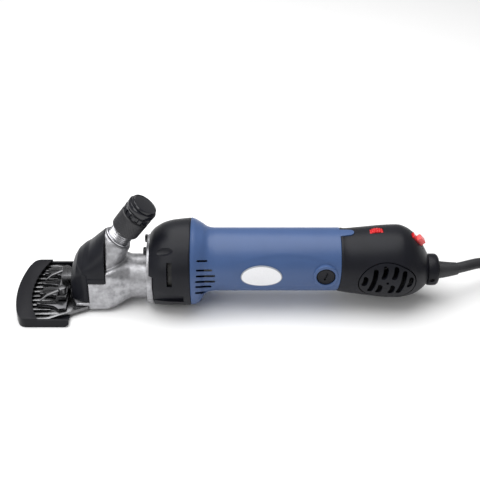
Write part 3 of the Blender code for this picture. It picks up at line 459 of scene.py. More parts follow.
def cast_head():
    """The casting, with the soft edges that a mould leaves."""
    loft = ((-125.0, 7.0, 6.2, 34.0, 1.5), (-119.0, 21.5, 2.2, 34.0, 1.5), (-95.0, 21.5, 2.2, 36.0, 3.0),
            (-90.5, 21.1, 2.3, 36.8, 6.0), (-86.0, 20.0, 2.6, 37.3, 10.0), (-81.5, 18.4, 2.9, 37.6, 14.0),
            (-77.0, 17.3, 3.2, 37.8, 17.3), (-62.0, 17.3, 3.2, 37.8, 17.3))
    head = start("cast_head", skin([soft_box_ring(*row) for row in loft]))
    tower = turned([(-9.5, 11.0), (-10.0, 11.8), (-15.0, 12.6), (-24.0, 14.5), (-40.0, 19.0)], 64)
    flange = moved(rod(*FLANGE_X, FLANGE_R, 96, "X"), shift(z=FLANGE_Z))
    join(head, moved(tower, knob_frame()), flange)
    # Planes of the opening in the casting's front
    front = -140
    seam = -95.2
    lip = 26.9
    floor = 12.0
    ledge = 8.7
    cut(
        head,
        box((front, -30, lip), (seam, 30, 90)),
        box((front, -30, floor), (FULCRUM_X, 30, 40)),
        box((front, 11.6, ledge), (FULCRUM_X, 30, 40)),
        box((front, -30, ledge), (FULCRUM_X, -11.6, 40)),
        box((front, -30, 0), (-109.4, 30, 6.2)),
        box((front, -17.5, floor), (-86, 17.5, 33.0)),
        moved(rod(-90, -50, 13.0, 48, "X"), shift(z=CRANK_Z)),
        moved(rod(-18.3, 5, 7.3, 32), knob_frame()),
        moved(rod(-60, -15, 3.4, 24), knob_frame()),
        moved(rod(6.8, 20, 4.3, 24), shift(x=FULCRUM_X)),
    )
    soften(head, 0.55, 6)
    finish(head, "cast_aluminium", "tool_body", "gearbox_head")


def arch_ring(x, half_width, shoulder, top, bottom=8.95, shrink=0.0):
    """The hood's section: straight sides and an elliptical roof."""
    wide = half_width - shrink
    rise = top - shrink - shoulder
    roof = [(x, wide * cos(a), shoulder + rise * sin(a)) for a in spread(0, pi, 41)]
    return [(x, wide, bottom)] + roof + [(x, -wide, bottom)]


def hood():
    """The black cover over the head's open front, from its seam forwards."""
    rows = [(-95.5, 21.5, 36.0, 61.6), (-102.5, 21.5, 36.0, 55.0), (-108.4, 21.3, 35.5, 49.0),
            (-112.6, 20.9, 33.8, 46.4), (-117.5, 18.6, 30.0, 42.5), (-120.8, 16.4, 26.0, 37.0),
            (-122.8, 14.6, 22.0, 31.0)]
    inner = [(-94.6, 21.5, 36.0, 61.6)] + rows[1:-1] + [(-121.0, 15.4, 23.0, 31.5)]
    piece = start("head_hood", skin([arch_ring(*row) for row in rows]))
    cut(
        piece,
        skin([arch_ring(*row, bottom=0.0, shrink=2.2) for row in inner]),
        box((-109.3, -40, 0), (-80, 40, 27.2)),
        box((-130, -12.0, 0), (-116, 12.0, 25.0)),
    )
    # Below a crease that climbs towards the front, the hood steps in.
    below_crease = [(-109.4, -5.0), (-109.4, 34.0), (-118.4, 40.5), (-123.2, 43.0), (-123.2, -5.0)]
    step = start("step", slab(below_crease, 40.0))
    cut(step, moved(skin([arch_ring(*row, bottom=-9.0, shrink=0.8) for row in rows]), shift(x=-0.6)))
    cut(piece, mesh_shape(step))
    bpy.data.objects.remove(step)
    soften(piece, 0.42, 3)
    # A raised rib along the cut-out's edge, on both sides
    ribs = [moved(box((-109.0, 21.2, 27.4), (-95.7, 21.75, 31.4)), across(side)) for side in (-1, 1)]
    trim = start("hood_rib", merged(ribs))
    bevel(trim, 0.25)
    finish(trim, "black_plastic", "tool_body")
    finish(piece, "black_plastic", "tool_body", "head_cover")


def knob():
    """From its foot up: a knurled skirt, a castellated ring, a plain ring and a cap."""
    ridges = 48
    ridge_height = 0.13
    lug_count = 14
    lug_depth = 1.1

    def knurl(station, angle):
        if not 1.2 < station < 14.2:
            return 0.0
        return ridge_height * max(cos(ridges * angle + 2.2 * station), cos(ridges * angle - 2.2 * station))

    def lugs(station, angle):
        if not 15.9 < station < 19.7:
            return 0.0
        return 0.0 if cos(lug_count * angle) > -0.35 else -lug_depth

    skirt = [(15.6, 9.5), (0.0, 9.5), (0.0, 10.8), (0.7, 11.2)]
    skirt += [(s, 11.2 + 0.02 * s) for s in spread(1.0, 14.4, 42)]
    skirt += [(14.8, 11.1), (15.2, 10.4), (15.6, 10.4)]
    lower = start("knob_skirt", moved(turned(skirt, 288, loop=True, wave=knurl), knob_frame()))
    ring = [(20.2, 0), (20.2, 9.5), (15.3, 9.5), (15.3, 10.2), (15.9, 11.3), (16.3, 11.6), (18.0, 11.65),
            (19.3, 11.6), (19.7, 11.3), (20.3, 10.5), (20.9, 10.5), (21.3, 11.4), (21.8, 11.7), (24.6, 11.75),
            (25.2, 11.4), (25.3, 10.4), (25.9, 10.4), (26.0, 10.5), (27.0, 10.45), (27.6, 10.1), (27.75, 9.5),
            (27.45, 9.0), (27.6, 6.0), (27.7, 0)]
    upper = start("knob_cap", moved(turned(ring, 224, wave=lugs), knob_frame()))
    finish(lower, "knurled_black", "knob", "tension_knob")
    finish(upper, "polished_black", "knob")


def sleeve():
    """The threaded collar that the knob turns on."""
    pitch = 1.6
    thread_height = 0.33

    def thread(station, angle):
        return thread_height * cos(2 * pi * station / pitch - angle) if -7.2 < station < 11.5 else 0.0

    profile = [(-18.0, 5.2), (-18.0, 7.0), (-9.2, 7.0), (-9.2, 10.2), (-8.9, 10.5), (-8.3, 10.5),
               (-8.0, 10.2), (-8.0, 8.9)]
    profile += [(s, 8.85) for s in spread(-7.6, 12.0, 100)] + [(12.0, 5.2)]
    piece = start("tension_collar", moved(turned(profile, 64, loop=True, wave=thread), knob_frame()))
    finish(piece, "machined_steel", "tool_body", "tension_sleeve")


def spring():
    """Five turns of round wire."""
    radius = 3.9
    wire = 0.6
    first, last = -11.3, 8.3
    per_turn = 28
    steps = 5 * per_turn
    rings = []
    for i in range(steps + 1):
        a = 2 * pi * i / per_turn
        centre = Vector((radius * cos(a), radius * sin(a), first + (last - first) * i / steps))
        outward = Vector((cos(a), sin(a), 0))
        rings.append([knob_frame() @ (centre + wire * (x * outward + z * Vector((0, 0, 1))))
                      for x, z in circle(1, 10)])
    piece = start("pressure_spring", skin(rings))
    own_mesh(finish(piece, "machined_steel", "tool_body", "tension_spring"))


# Comb, cutter and fork

COMB_TIP_X = -164.0
COMB_TIP_ARC = 118.0
COMB_PITCH = 5.9
COMB_TEETH = 13
TOOTH_ROOT_X = -139.5
CUTTER_TEETH = (-20.4, -6.8, 6.8, 20.4)
# The fork's feet, from the fulcrum
FOOT_X = -21.5
FOOT_Y = 13.6


def comb():
    """Thirteen ground teeth that thin towards their tips."""
    half_span = COMB_PITCH * (COMB_TEETH - 1) / 2
    half = [(-110.0, 21.0), (-126.0, 29.5), (-138.0, half_span + 1.5)]
    outline = list(half)
    for tooth in reversed(range(COMB_TEETH)):
        y = tooth * COMB_PITCH - half_span
        tip = arc_x(COMB_TIP_X, COMB_TIP_ARC, y)
        root = TOOTH_ROOT_X + 0.25 * (tip - COMB_TIP_X)
        far = [(root, 1.7)] if tooth < COMB_TEETH - 1 else []
        near = [(root, 1.7)] if tooth > 0 else []
        # (x, half width) along a tooth's flank
        flank = [(tip + 16.0, 1.5), (tip + 8.0, 1.3), (tip + 2.5, 1.05), (tip + 0.6, 0.6)]
        outline += [(x, y + w) for x, w in far + flank] + [(tip, y)]
        outline += [(x, y - w) for x, w in reversed(near + flank)]
    outline += [(x, -y) for x, y in reversed(half)]
    top = high("comb").z
    bottom = low("comb").z
    piece = start("comb_blade", prism(outline, bottom, top))
    cut(piece, *[moved(rod(0, 10, 2.5, 24), shift(*place)) for place in COMB_SCREWS])
    bevel(piece, 0.35, 2, 30)
    # Towards the tips the top slopes down and the underside slopes up.
    for vertex in piece.data.vertices:
        place = drawn(vertex.co)
        reach = max(0.0, TOOTH_ROOT_X - place.x) / (TOOTH_ROOT_X - COMB_TIP_X)
        sink = (0.9 if place.z > (top + bottom) / 2 else -0.5) * reach
        vertex.co.z -= sink * MM
    finish(piece, "blade_steel", "tool_body", "comb")


def cutter():
    """Four pointed teeth on a flat bar."""
    outline = [(-17.0, 27.0), (-23.0, 28.5)]
    for y in reversed(CUTTER_TEETH):
        edge = [(-27.0, 4.2), (-31.0, 2.9), (-36.0, 2.1), (-40.5, 1.4)]
        outline += [(x, y + w) for x, w in edge] + [(-41.2, y)] + [(x, y - w) for x, w in reversed(edge)]
    outline += [(-23.0, -28.5), (-17.0, -27.0)]
    blade = prism(outline, low("cutter").z, high("cutter").z)
    piece = start("cutter_blade", moved(blade, shift(x=FULCRUM_X)))
    bevel(piece, 0.4, 2, 30)
    finish(piece, "shaded_steel", "fork_and_cutter", "cutter")


def fork():
    """A bar over the fulcrum, slotted for the crank's roller, and two feet with two prongs each."""
    slot_end = [(18.9, -3.8), (18.9, 3.8)]
    half = [(25.0, 3.8), (25.0, 7.0), (17.0, 7.0), (8.0, 8.5), (-6.0, 8.5), (-10.0, 6.0), (-22.5, 6.0)]
    place = shift(x=FULCRUM_X)
    piece = start("fork_bar", moved(prism(slot_end + mirrored(half), 15.0, 24.0), place))
    join(piece, moved(box((-22.4, -5.9, 12.0), (-16.5, 5.9, 16.0)), place),
         moved(box((-25.0, -18.0, 10.0), (-18.0, 18.0, 13.6)), place))
    cut(piece, moved(rod(5, 18.0, 3.5, 24), place),
        *[moved(rod(5, 16, 2.7, 24), shift(FOOT_X, y), place) for y in (-FOOT_Y, FOOT_Y)])
    bevel(piece, 0.5, 2, 40)
    # The fork's dark steel is painted shade.
    finish(piece, "fork_steel_painted_shade", "fork_and_cutter", "fork")
    for side, suffix in ((-1, "left"), (1, "right")):
        hub = turned([(9.5, 0), (9.5, 2.3), (14.0, 2.3), (14.0, 3.4), (18.2, 3.4), (18.8, 3.0), (19.0, 2.4),
                      (19.0, 0)], 32)
        foot = start("fork_prong_" + suffix, moved(hub, shift(FOOT_X, side * FOOT_Y), place))
        for tooth in CUTTER_TEETH[2:]:
            tooth_y = side * tooth
            bend_y = 0.35 * side * FOOT_Y + 0.65 * tooth_y
            stations = ((FOOT_X, side * FOOT_Y, 17.0, 1.7), (-33.0, bend_y, 14.2, 1.5),
                        (-38.0, tooth_y, 10.9, 1.2))
            rings = []
            for *centre, wide in stations:
                rings.append([Vector(centre) + Vector((0.5 * z, wide * x, 1.3 * z))
                              for x, z in circle(1.1, 12)])
            join(foot, moved(skin(rings), place))
        finish(foot, "fork_steel_painted_shade", "fork_and_cutter", "fork_foot_" + suffix)


def blade_guard():
    """A floor, low walls and a band over the comb's tips."""
    front = low("blade_guard").x
    rear = high("blade_guard").x
    half_width = high("blade_guard").y
    height = high("blade_guard").z
    front_arc = 121.0
    corner_radius = 7.0

    def plan(inset, back):
        width = half_width - inset
        radius = corner_radius - inset
        rim = [(arc_x(front + inset, front_arc, y), y) for y in spread(width - radius, 0.0, 16)]
        corner_x = arc_x(front + inset, front_arc, width - radius) + 1.12 * radius
        corner = [(corner_x - radius * cos(a), width - radius + radius * sin(a))
                  for a in spread(pi / 2, 0.35, 9)]
        return mirrored([(back, width)] + corner + rim[1:-1] + [(front + inset, 0.001)])

    piece = start("guard_sleeve", prism(plan(0, rear), 0, height))
    wall = 2.0
    floor = 2.6
    pocket_top = height - 1.6
    band_edge = [(arc_x(-155.8, 90.0, y), y) for y in spread(45.0, 0.001, 14)]
    low_rear = [(rear + 1.0, -1.0), (rear + 1.0, 4.0), (rear - 4.0, -1.0)]
    cut(
        piece,
        prism(plan(wall, rear + 5), floor, pocket_top),
        prism(mirrored([(-100.0, 60.0)] + band_edge), pocket_top - 0.1, 20),
        slab(low_rear, 60.0),
    )
    bevel(piece, 0.5, 3, 35)
    finish(piece, "guard_plastic", "guard", "blade_guard")


def screws():
    """Socket-head screws in the flange, and slotted ones under the comb."""
    for suffix, place in zip(("left", "right"), FLANGE_SCREWS_UPPER):
        head = turned([(-66.2, 0), (-66.2, 2.5), (-65.9, 3.05), (-65.2, 3.15), (-64.2, 3.15), (-64.2, 1.6),
                       (-54.0, 1.6), (-54.0, 0)], 32, "X")
        piece = start("flange_bolt_" + suffix, moved(head, shift(0, *place)))
        cut(piece, moved(rod(-67.0, -64.9, 1.5, 6, "X"), shift(0, *place)))
        finish(piece, "black_steel", "tool_body", "flange_screw_upper_" + suffix)
    for suffix, place in zip(("left", "right"), COMB_SCREWS):
        head = turned([(0.3, 0), (0.3, 3.9), (0.7, 4.3), (2.5, 4.4), (2.5, 2.2), (11.0, 2.2), (11.0, 0)], 32)
        piece = start("comb_bolt_" + suffix, moved(head, shift(*place)))
        cut(piece, moved(box((-0.6, -6, 0), (0.6, 6, 1.4)), turn(35, "Z"), shift(*place)))
        finish(piece, "black_steel", "tool_body", "comb_screw_" + suffix)


# Housings

GEAR_CASE_R = 33.0
GEAR_CASE_Z = 33.0


def radial_tool(shape, x, angle, side):
    """Stands a shape drawn in X and Y, raised along Z, on the gear case, the angle counted up its side."""
    a = radians(angle)
    place = shift(x, -GEAR_CASE_R * cos(a), GEAR_CASE_Z + GEAR_CASE_R * sin(a))
    return moved(shape, turn(90, "X"), turn(-angle, "X"), place, across(-side))


def gear_housing():
    """The black shell behind the flange, with a scoop, a slot and a sunk panel on each side."""
    table = ((-61.6, 27.9), (-59.5, 29.2), (-58.3, 29.8), (-54.6, 31.1), (-50.8, 32.1), (-45.0, 33.0),
             (-39.0, 33.45), (-31.0, 33.9))
    outside = [round_ring(x, r, r) for x, r in eased(table, 1.0)] + [round_ring(-30.35, 33.6, 33.9)]
    inside = [round_ring(x, r, z) for x, r, z in
              ((-30.35, 30.4, 33.4), (-47.2, 30.3, 33.0), (-47.2, 29.4, 32.3), (-53.2, 28.2, 31.4),
               (-53.2, 13.4, CRANK_Z), (-61.6, 13.4, CRANK_Z))]
    piece = start("gear_case", skin(outside + inside, loop=True))
    seat = moved(rod(-70, FLANGE_X[1] + GAP, FLANGE_R + GAP, 96, "X"), shift(z=FLANGE_Z))
    cut(piece, seat, box((-70, -50, -20), (-58.3, 50, 38.0)))
    depth = 3.1
    bowl = [(-depth, 0)] + [(-depth * cos(a), sin(a)) for a in spread(0.2, pi / 2, 9)]
    bowl += [(6.0, 1.0), (6.0, 0)]
    oval = Matrix.Diagonal((8.6, 3.5, 1.0, 1.0))
    slot = [(2.0, 9.6), (-2.0, 9.6), (-2.0, -9.6), (2.0, -9.6)]
    panel = [(-12.0, 6.6), (11.0, 2.2), (11.0, -6.4), (-12.0, -6.4)]
    for side in (-1, 1):
        cut(
            piece,
            radial_tool(moved(turned(bowl, 48), oval, turn(-15, "Y")), -50.3, 48, side),
            radial_tool(prism(slot, -4.6, 8), -45.7, 16, side),
            radial_tool(prism(panel, -2.5, 8), -46.5, -21, side),
        )
    finish(piece, "black_plastic", "tool_body", "gear_housing")


def rear_seam_x(z):
    """The seam with the rear cover, which curves forwards towards its lower end."""
    below = max(0.0, 44.0 - z)
    return HOUSING_REAR - 0.0032 * below * below


def seam_ring(x, radius, centre_z, follow):
    """A ring that leans with the rear seam as far as follow, from 0 to 1, says."""
    return [(x + follow * (rear_seam_x(z) - HOUSING_REAR), y, z)
            for _, y, z in round_ring(x, radius, centre_z)]


def grip_panel(x, y, z):
    """How far the flattened panel round the label lies below the grip's surface. Its upper edge is arched."""
    angle = degrees(atan2(z - MOTOR_Z, abs(y)))
    arch = 40.6 - 16.0 * ((x - 42.0) / 36.0) ** 2
    inside = min((arch - angle) / 3.0, (angle + 30.0) / 3.0, (x - 4.0) / 2.0, (78.0 - x) / 2.0)
    depth = 0.4
    return depth * max(0.0, min(1.0, inside))


def with_panel(ring):
    """The ring with the points of the flattened panel moved towards the motor's axis."""
    sunk = []
    for x, y, z in ring:
        reach = hypot(y, z - MOTOR_Z)
        share = (reach - grip_panel(x, y, z)) / reach
        sunk.append((x, y * share, MOTOR_Z + (z - MOTOR_Z) * share))
    return sunk


TONGUE_HALF_WIDTH = 5.2
TONGUE_END = 94.4


def tongue_outline(grow):
    """A tapered tongue with a rounded tip, seen from above."""
    width = TONGUE_HALF_WIDTH + grow
    end = TONGUE_END + grow
    tip = [(end - 3.2 + 3.2 * cos(a), (width - 1.7) * sin(a)) for a in spread(-pi / 2, pi / 2, 17)]
    return [(HOUSING_REAR - 4, -width)] + tip + [(HOUSING_REAR - 4, width)]


def motor_housing():
    """The blue grip: a shell with vents, bosses for the brush caps and a tongue over the rear cover."""
    table = ((-30.05, 33.85, 34.2), (-27.0, 33.1, 33.9), (-24.5, 31.8, 33.8), (-22.3, 29.9, 34.5),
             (-20.6, 27.5, 36.0), (-18.3, 25.9, 36.0), (-16.0, 25.0, 36.0), (-12.5, 24.5, 36.0))
    outside = [round_ring(HOUSING_FRONT, 33.5, 34.2)]
    # The first of these rings stands back a little, which leaves a chamfer at the front edge.
    outside += [round_ring(max(x, HOUSING_FRONT + 0.3), r, z) for x, r, z in eased(table, 0.8)]
    for x in spread(-11.0, 83.6, 80):
        outside.append(with_panel(seam_ring(x, GRIP_R, MOTOR_Z, max(0.0, (x - 50) / (HOUSING_REAR - 50)))))
    outside.append(seam_ring(HOUSING_REAR, GRIP_R - 0.35, MOTOR_Z, 1.0))
    inside = [seam_ring(HOUSING_REAR, GRIP_R - WALL, MOTOR_Z, 1.0)]
    inside += [round_ring(x, r, z) for x, r, z in
               ((-13.5, GRIP_R - WALL, MOTOR_Z), (-19.0, 23.6, MOTOR_Z), (-23.3, 28.0, 34.5),
                (-27.0, 30.4, 33.9), (HOUSING_FRONT, 31.0, 34.0))]
    piece = start("motor_case", skin(outside + inside, loop=True))
    brush_x = (low("brush_cap_left").x + high("brush_cap_left").x) / 2
    # Parallel slots: how far each lies above the motor's axis, and its front and rear end
    vents = ((-1.2, -25.2, -17.0), (-8.3, -25.6, -13.6), (-12.7, -25.7, -11.5), (-16.9, -26.3, -11.5),
             (-20.8, -26.3, -14.3), (-25.5, -26.6, -18.2))
    boss = [(17.0, 9.6), (24.5, 9.6), (24.85, 9.3), (24.95, 8.9)]
    socket = [(15.0, 5.4), (20.7, 5.4), (20.7, 7.25), (24.6, 7.25), (30.0, 7.8)]
    bosses = []
    sockets = []
    slots = []
    for side in (-1, 1):
        place = (across(side), shift(brush_x, 0, MOTOR_Z))
        bosses.append(moved(turned(boss, 64, "Y"), *place))
        sockets.append(moved(turned(socket, 64, "Y"), *place))
        for above, front, rear in vents:
            half = (rear - front) / 2
            slot = prism([(y, x) for x, y in stadium(half, 0.75, 0, 5)], 6.0, 40.0)
            slots.append(moved(slot, turn(-90, "X"), shift(x=(front + rear) / 2, z=above), turn(33, "X"),
                               across(side), shift(z=MOTOR_Z)))
    join(piece, merged(bosses))
    cut(piece, merged(sockets), merged(slots))
    tongue = start("tongue", prism(tongue_outline(0), 50.0, 70.0))
    sheet = [round_ring(x, r, MOTOR_Z) for x, r in
             ((HOUSING_REAR - 3, GRIP_R - 2.0), (HOUSING_REAR - 3, GRIP_R - 0.2),
              (TONGUE_END - 5, GRIP_R + 0.25), (TONGUE_END, GRIP_R + 0.3),
              (TONGUE_END + 2, GRIP_R + 0.3), (TONGUE_END + 2, GRIP_R - 2.0))]
    combine(tongue, [skin(sheet, loop=True)], "INTERSECT")
    join(piece, mesh_shape(tongue))
    bpy.data.objects.remove(tongue)
    finish(piece, "blue_plastic", "tool_body", "motor_housing")


def mesh_shape(piece):
    """A finished piece's mesh as a drawn shape again."""
    bm = bmesh.new()
    bm.from_mesh(piece.data)
    return moved(bm, Matrix.Scale(1 / MM, 4) @ Matrix.Translation(-ORIGIN))


def label():
    """A blank oval plate, curved with the grip, inside a thin grey rim."""
    label_x = (low("label_plate").x + high("label_plate").x) / 2
    for name, half_x, half_z, outer, look, nodes in (
            ("label_rim", 15.7, 9.1, GRIP_R + 0.45, "label_rim", ()),
            ("label_face", 15.0, 8.4, GRIP_R + 0.7, "label_white", ("label_plate",))):
        rings = [(0, GRIP_R - 0.2), (0, outer), (50, outer), (50, GRIP_R - 0.2)]
        plate = start(name, moved(turned(rings, 240, "X", loop=True), shift(z=MOTOR_Z)))
        oval = prism([(label_x + half_x * x, half_z * y) for x, y in circle(1, 72)], 10, 40)
        combine(plate, [moved(oval, turn(90, "X"), shift(z=MOTOR_Z))], "INTERSECT")
        finish(plate, look, "tool_body", *nodes)


def brush_caps():
    """Slotted caps, sunk in the grip's bosses."""
    for side, suffix in ((-1, "left"), (1, "right")):
        node = "brush_cap_" + suffix
        centre = (low(node) + high(node)) / 2
        cap = [(21.0, 0), (21.0, 6.95), (24.0, 6.95), (24.4, 6.6), (24.6, 6.1), (24.3, 5.6), (24.35, 0)]
        place = (across(side), shift(centre.x, 0, MOTOR_Z))
        piece = start("slotted_cap_" + suffix, moved(turned(cap, 64, "Y"), *place))
        slot = prism(stadium(3.6, 0.8, 0, 6), 23.2, 30.0)
        cut(piece, moved(slot, turn(-90, "X"), turn(18, "Y"), *place))
        finish(piece, "black_plastic", "tool_body", node)


# Rear cover

COVER_TABLE = ((88.7, 24.8, 35.1), (101.0, 26.25, 34.6), (116.0, 27.8, 34.4), (128.5, 28.3, 34.4),
               (133.5, 27.5, 34.1), (138.5, 25.7, 33.2), (143.5, 22.5, 31.7), (148.5, 17.6, 29.8),
               (152.2, 12.6, 28.0))
GRILLE_X = 119.0
GRILLE_Z = 34.4
GRILLE_TILT = -8
WHEEL_R = 9.0
WHEEL_HALF = 2.8


def cover_rings(inset, front):
    """The cover's sections, set in by inset. The first one stands front millimetres behind the seam."""
    table = ((HOUSING_REAR + front, GRIP_R, MOTOR_Z),) + COVER_TABLE
    rings = []
    for x, r, z in eased(table, 1.2):
        rings.append(seam_ring(x, r - inset, z, max(0.0, 1 - (x - HOUSING_REAR) / 14)))
    return rings


def grille_oval(grow, side):
    """A tool with the grille's outline, larger by grow."""
    outline = [((21.75 + grow) * x, (17.2 + grow) * y) for x, y in circle(1, 96)]
    return moved(prism(outline, 5.0, 40.0), turn(-90, "X"), turn(GRILLE_TILT, "X"), across(side),
                 shift(GRILLE_X, 0, GRILLE_Z))


def rear_cover():
    """A rounded shell with openings for the switch, dial, grilles, cord and tongue."""
    front = cover_rings(0.0, GAP)
    lip = seam_ring(HOUSING_REAR + GAP, GRIP_R - 0.35, MOTOR_Z, 1.0)
    piece = start("rear_case", skin([lip] + front[1:]))
    pad = moved(box((-8.6, -5.8, -12.0), (8.6, 5.8, 0.0)), switch_frame())
    seat = moved(box((-7.8, -5.2, 0.0), (7.8, 5.2, 12.0)), switch_frame())
    well = moved(box((-6.9, -4.4, -30.0), (6.9, 4.4, 5.0)), switch_frame())
    dial_slot = rod(-WHEEL_HALF - GAP, WHEEL_HALF + GAP, WHEEL_R + GAP, 96, "Y")
    join(piece, pad)
    cut(
        piece,
        skin(cover_rings(WALL, -5.0)[:-4]),
        seat,
        well,
        moved(dial_slot, Matrix.Translation(DIAL)),
        grille_oval(0.5, -1), grille_oval(0.5, 1),
        moved(rod(140.0, 160.0, 4.8, 32, "X"), shift(z=26.2)),
        prism(tongue_outline(GAP), 50.0, 70.0),
    )
    finish(piece, "black_plastic", "tool_body", "rear_cover")


def grilles():
    """Oval inserts with bowed slots round a small screw hole, all a little above the oval's middle."""
    slots_above = 1.8
    slots = ((-17.6, 0.2, 4.6), (-11.3, 0.2, 11.0), (-4.6, 8.3, 5.2), (-5.2, -6.6, 5.0), (3.3, 8.3, 5.2),
             (4.2, -6.6, 5.0), (10.4, -0.2, 10.8), (16.8, -0.2, 4.6))
    for side, suffix in ((-1, "left"), (1, "right")):
        rings = cover_rings(0.0, GAP)[4:-6] + cover_rings(WALL, GAP)[4:-6][::-1]
        piece = start("grille_" + suffix, skin(rings, loop=True))
        combine(piece, [grille_oval(-0.3, side)], "INTERSECT")
        place = (turn(GRILLE_TILT, "X"), across(side), shift(GRILLE_X, 0, GRILLE_Z + slots_above))
        tools = [moved(rod(5.0, 40.0, 1.1, 20, "Y"), *place)]
        for x, z, half in slots:
            slot = prism(stadium(half, 1.9, 0.9), 5.0, 40.0)
            tools.append(moved(slot, turn(-90, "X"), turn(12, "Y"), shift(x=x + 0.2 * z, z=z), *place))
        cut(piece, *tools)
        finish(piece, "black_plastic", "tool_body", "vent_grille_" + suffix)


def switch():
    """A rocker whose rear half is a raised block, in a black bezel. The block's lighter red is a painted
    highlight.
    """
    half_width = 3.2
    bezel = start("switch_bezel", moved(box((-7.5, -4.9, 0.3), (7.5, 4.9, 0.9)), switch_frame()))
    join(bezel, moved(box((-6.5, -4.0, -13.0), (6.5, 4.0, 0.6)), switch_frame()))
    cut(bezel, moved(box((-6.1, -3.5, -4.5), (6.1, 3.5, 5.0)), switch_frame()))
    bevel(bezel, 0.2, 2, 40)
    finish(bezel, "black_plastic", "tool_body", "switch_body")
    lower = [(-5.2, 2.7), (-5.2, -0.4), (-2.0, -1.6), (2.0, -1.6), (5.2, -0.4), (5.2, 1.9), (-1.0, 1.9)]
    base = start("rocker_base", moved(slab(lower, half_width), switch_frame()))
    bevel(base, 0.3, 2, 30)
    finish(base, "red_plastic", "rocker", "switch_rocker")
    raised = [(-0.9, 1.7), (5.2, 1.7), (5.2, 5.2), (-0.2, 5.2), (-0.9, 4.4)]
    block = start("rocker_block", moved(slab(raised, half_width), switch_frame()))
    bevel(block, 0.35, 3, 30)
    # The raised block gets the lighter red, a painted highlight.
    finish(block, "red_plastic_painted_highlight", "rocker")


def speed_dial():
    """A thumbwheel with a notched rim."""
    notches = 28
    points = 6 * notches
    outline = []
    for i in range(points):
        a = 2 * pi * i / points
        radius = WHEEL_R - (0.5 if cos(notches * a) < -0.1 else 0.0)
        outline.append((radius * cos(a), radius * sin(a)))
    wheel = moved(prism(outline, -WHEEL_HALF, WHEEL_HALF), turn(90, "X"), Matrix.Translation(DIAL))
    piece = start("speed_wheel", wheel)
    cut(piece, moved(rod(-5, 5, 1.8, 24, "Y"), Matrix.Translation(DIAL)))
    bevel(piece, 0.2, 1, 50)
    finish(piece, "red_plastic", "dial", "speed_dial")


def gland():
    """The collar that clamps the cord, with its screw."""
    centre_z = (low("cord_gland").z + high("cord_gland").z) / 2
    profile = [(152.5, 5.0), (152.5, 11.4), (153.1, 12.1), (154.2, 12.4), (158.3, 12.4), (159.6, 12.1),
               (160.8, 11.2), (161.5, 9.8), (161.6, 8.2), (161.3, 7.4), (154.2, 7.4), (154.2, 5.0)]
    piece = start("gland_collar", moved(turned(profile, 80, "X", loop=True), shift(z=centre_z)))
    place = (turn(-10, "X"), across(-1), shift(x=155.9, z=centre_z))
    cut(piece, moved(rod(9.0, 20.0, 1.9, 32, "Y"), *place))
    finish(piece, "black_plastic", "tool_body", "cord_gland")
    head = turned([(9.2, 0), (9.2, 1.7), (11.0, 1.7), (11.3, 1.4), (11.4, 0)], 32, "Y")
    screw = start("gland_bolt", moved(head, *place))
    cut(screw, moved(box((-0.3, 10.7, -1.3), (0.3, 12.0, 1.3)), *place),
        moved(box((-1.3, 10.7, -0.3), (1.3, 12.0, 0.3)), *place))
    finish(screw, "black_steel", "tool_body", "gland_screw")


# Cord, with what is on it

CORD_R = 4.25
COIL_CENTRE = Vector((283.26, -2.76, 0.0))
COIL_START_R = 57.5
COIL_START_ANGLE = 121.0
LAYER_TURN = 965.0  # degrees that each layer winds before the next one goes back over it
LAYER_CLIMB = 140.0  # degrees over which the cord steps up to the next layer
COIL_TURN = 2544.0
PLUG_CLIMB = 100.0  # degrees over which it rises to the plug
PLUG_Z = 34.0
BOOT_LEAD = 6.0  # from the coil's end to the plug's boot
TIE_TURN = 211.0
CORD_ROUTE = ((176.2, 1.9, 25.7), (182.0, 4.0, 25.7), (188.0, 7.0, 25.3), (194.0, 10.6, 24.3),
              (200.5, 14.6, 22.3), (208.2, 19.2, 19.3), (215.9, 23.9, 15.8), (223.6, 28.5, 12.1),
              (231.4, 33.1, 8.9), (239.1, 37.8, 6.5), (246.8, 42.4, 4.9))


def smooth(t):
    """Rises from 0 to 1 as t does, level at both ends."""
    t = max(0.0, min(1.0, t))
    return t * t * (3 - 2 * t)


def coil_radius(angle):
    """The winding goes in on the bench, out on top of that, and in again on top of both."""
    inwards = LAYER_TURN - abs(LAYER_TURN - angle % (2 * LAYER_TURN))
    return COIL_START_R - 2 * CORD_R * inwards / 360


def coil_direction(angle):
    """From the coil's middle to the cord, once it has wound through angle degrees, clockwise from above."""
    a = radians(COIL_START_ANGLE - angle)
    return Vector((cos(a), sin(a), 0))


def coil_point(angle):
    layer = sum(smooth((angle - k * LAYER_TURN + LAYER_CLIMB / 2) / LAYER_CLIMB) for k in (1, 2))
    height = CORD_R * (1 + 2 * layer)
    height += (PLUG_Z - 5 * CORD_R) * smooth((angle - COIL_TURN + PLUG_CLIMB) / PLUG_CLIMB)
    return COIL_CENTRE + coil_radius(angle) * coil_direction(angle) + Vector((0, 0, height))


def plug_frame():
    """Stands the plug, drawn along X from its boot, where the last turn leaves the coil."""
    heading = radians(COIL_START_ANGLE - COIL_TURN - 90)
    spot = coil_point(COIL_TURN) + BOOT_LEAD * Vector((cos(heading), sin(heading), 0))
    return Matrix.Translation(spot) @ Matrix.Rotation(heading, 4, "Z")


def cord_line():
    """The cord's middle line, from the strain relief round the coil to the plug's boot."""
    line = [Vector(row) for row in eased(CORD_ROUTE + (tuple(coil_point(0)),), 3.0)]
    line += [coil_point(angle) for angle in spread(4, COIL_TURN, 636)]
    return line + [plug_frame() @ Vector((x, 0, 0)) for x in (-3, 0, 4)]


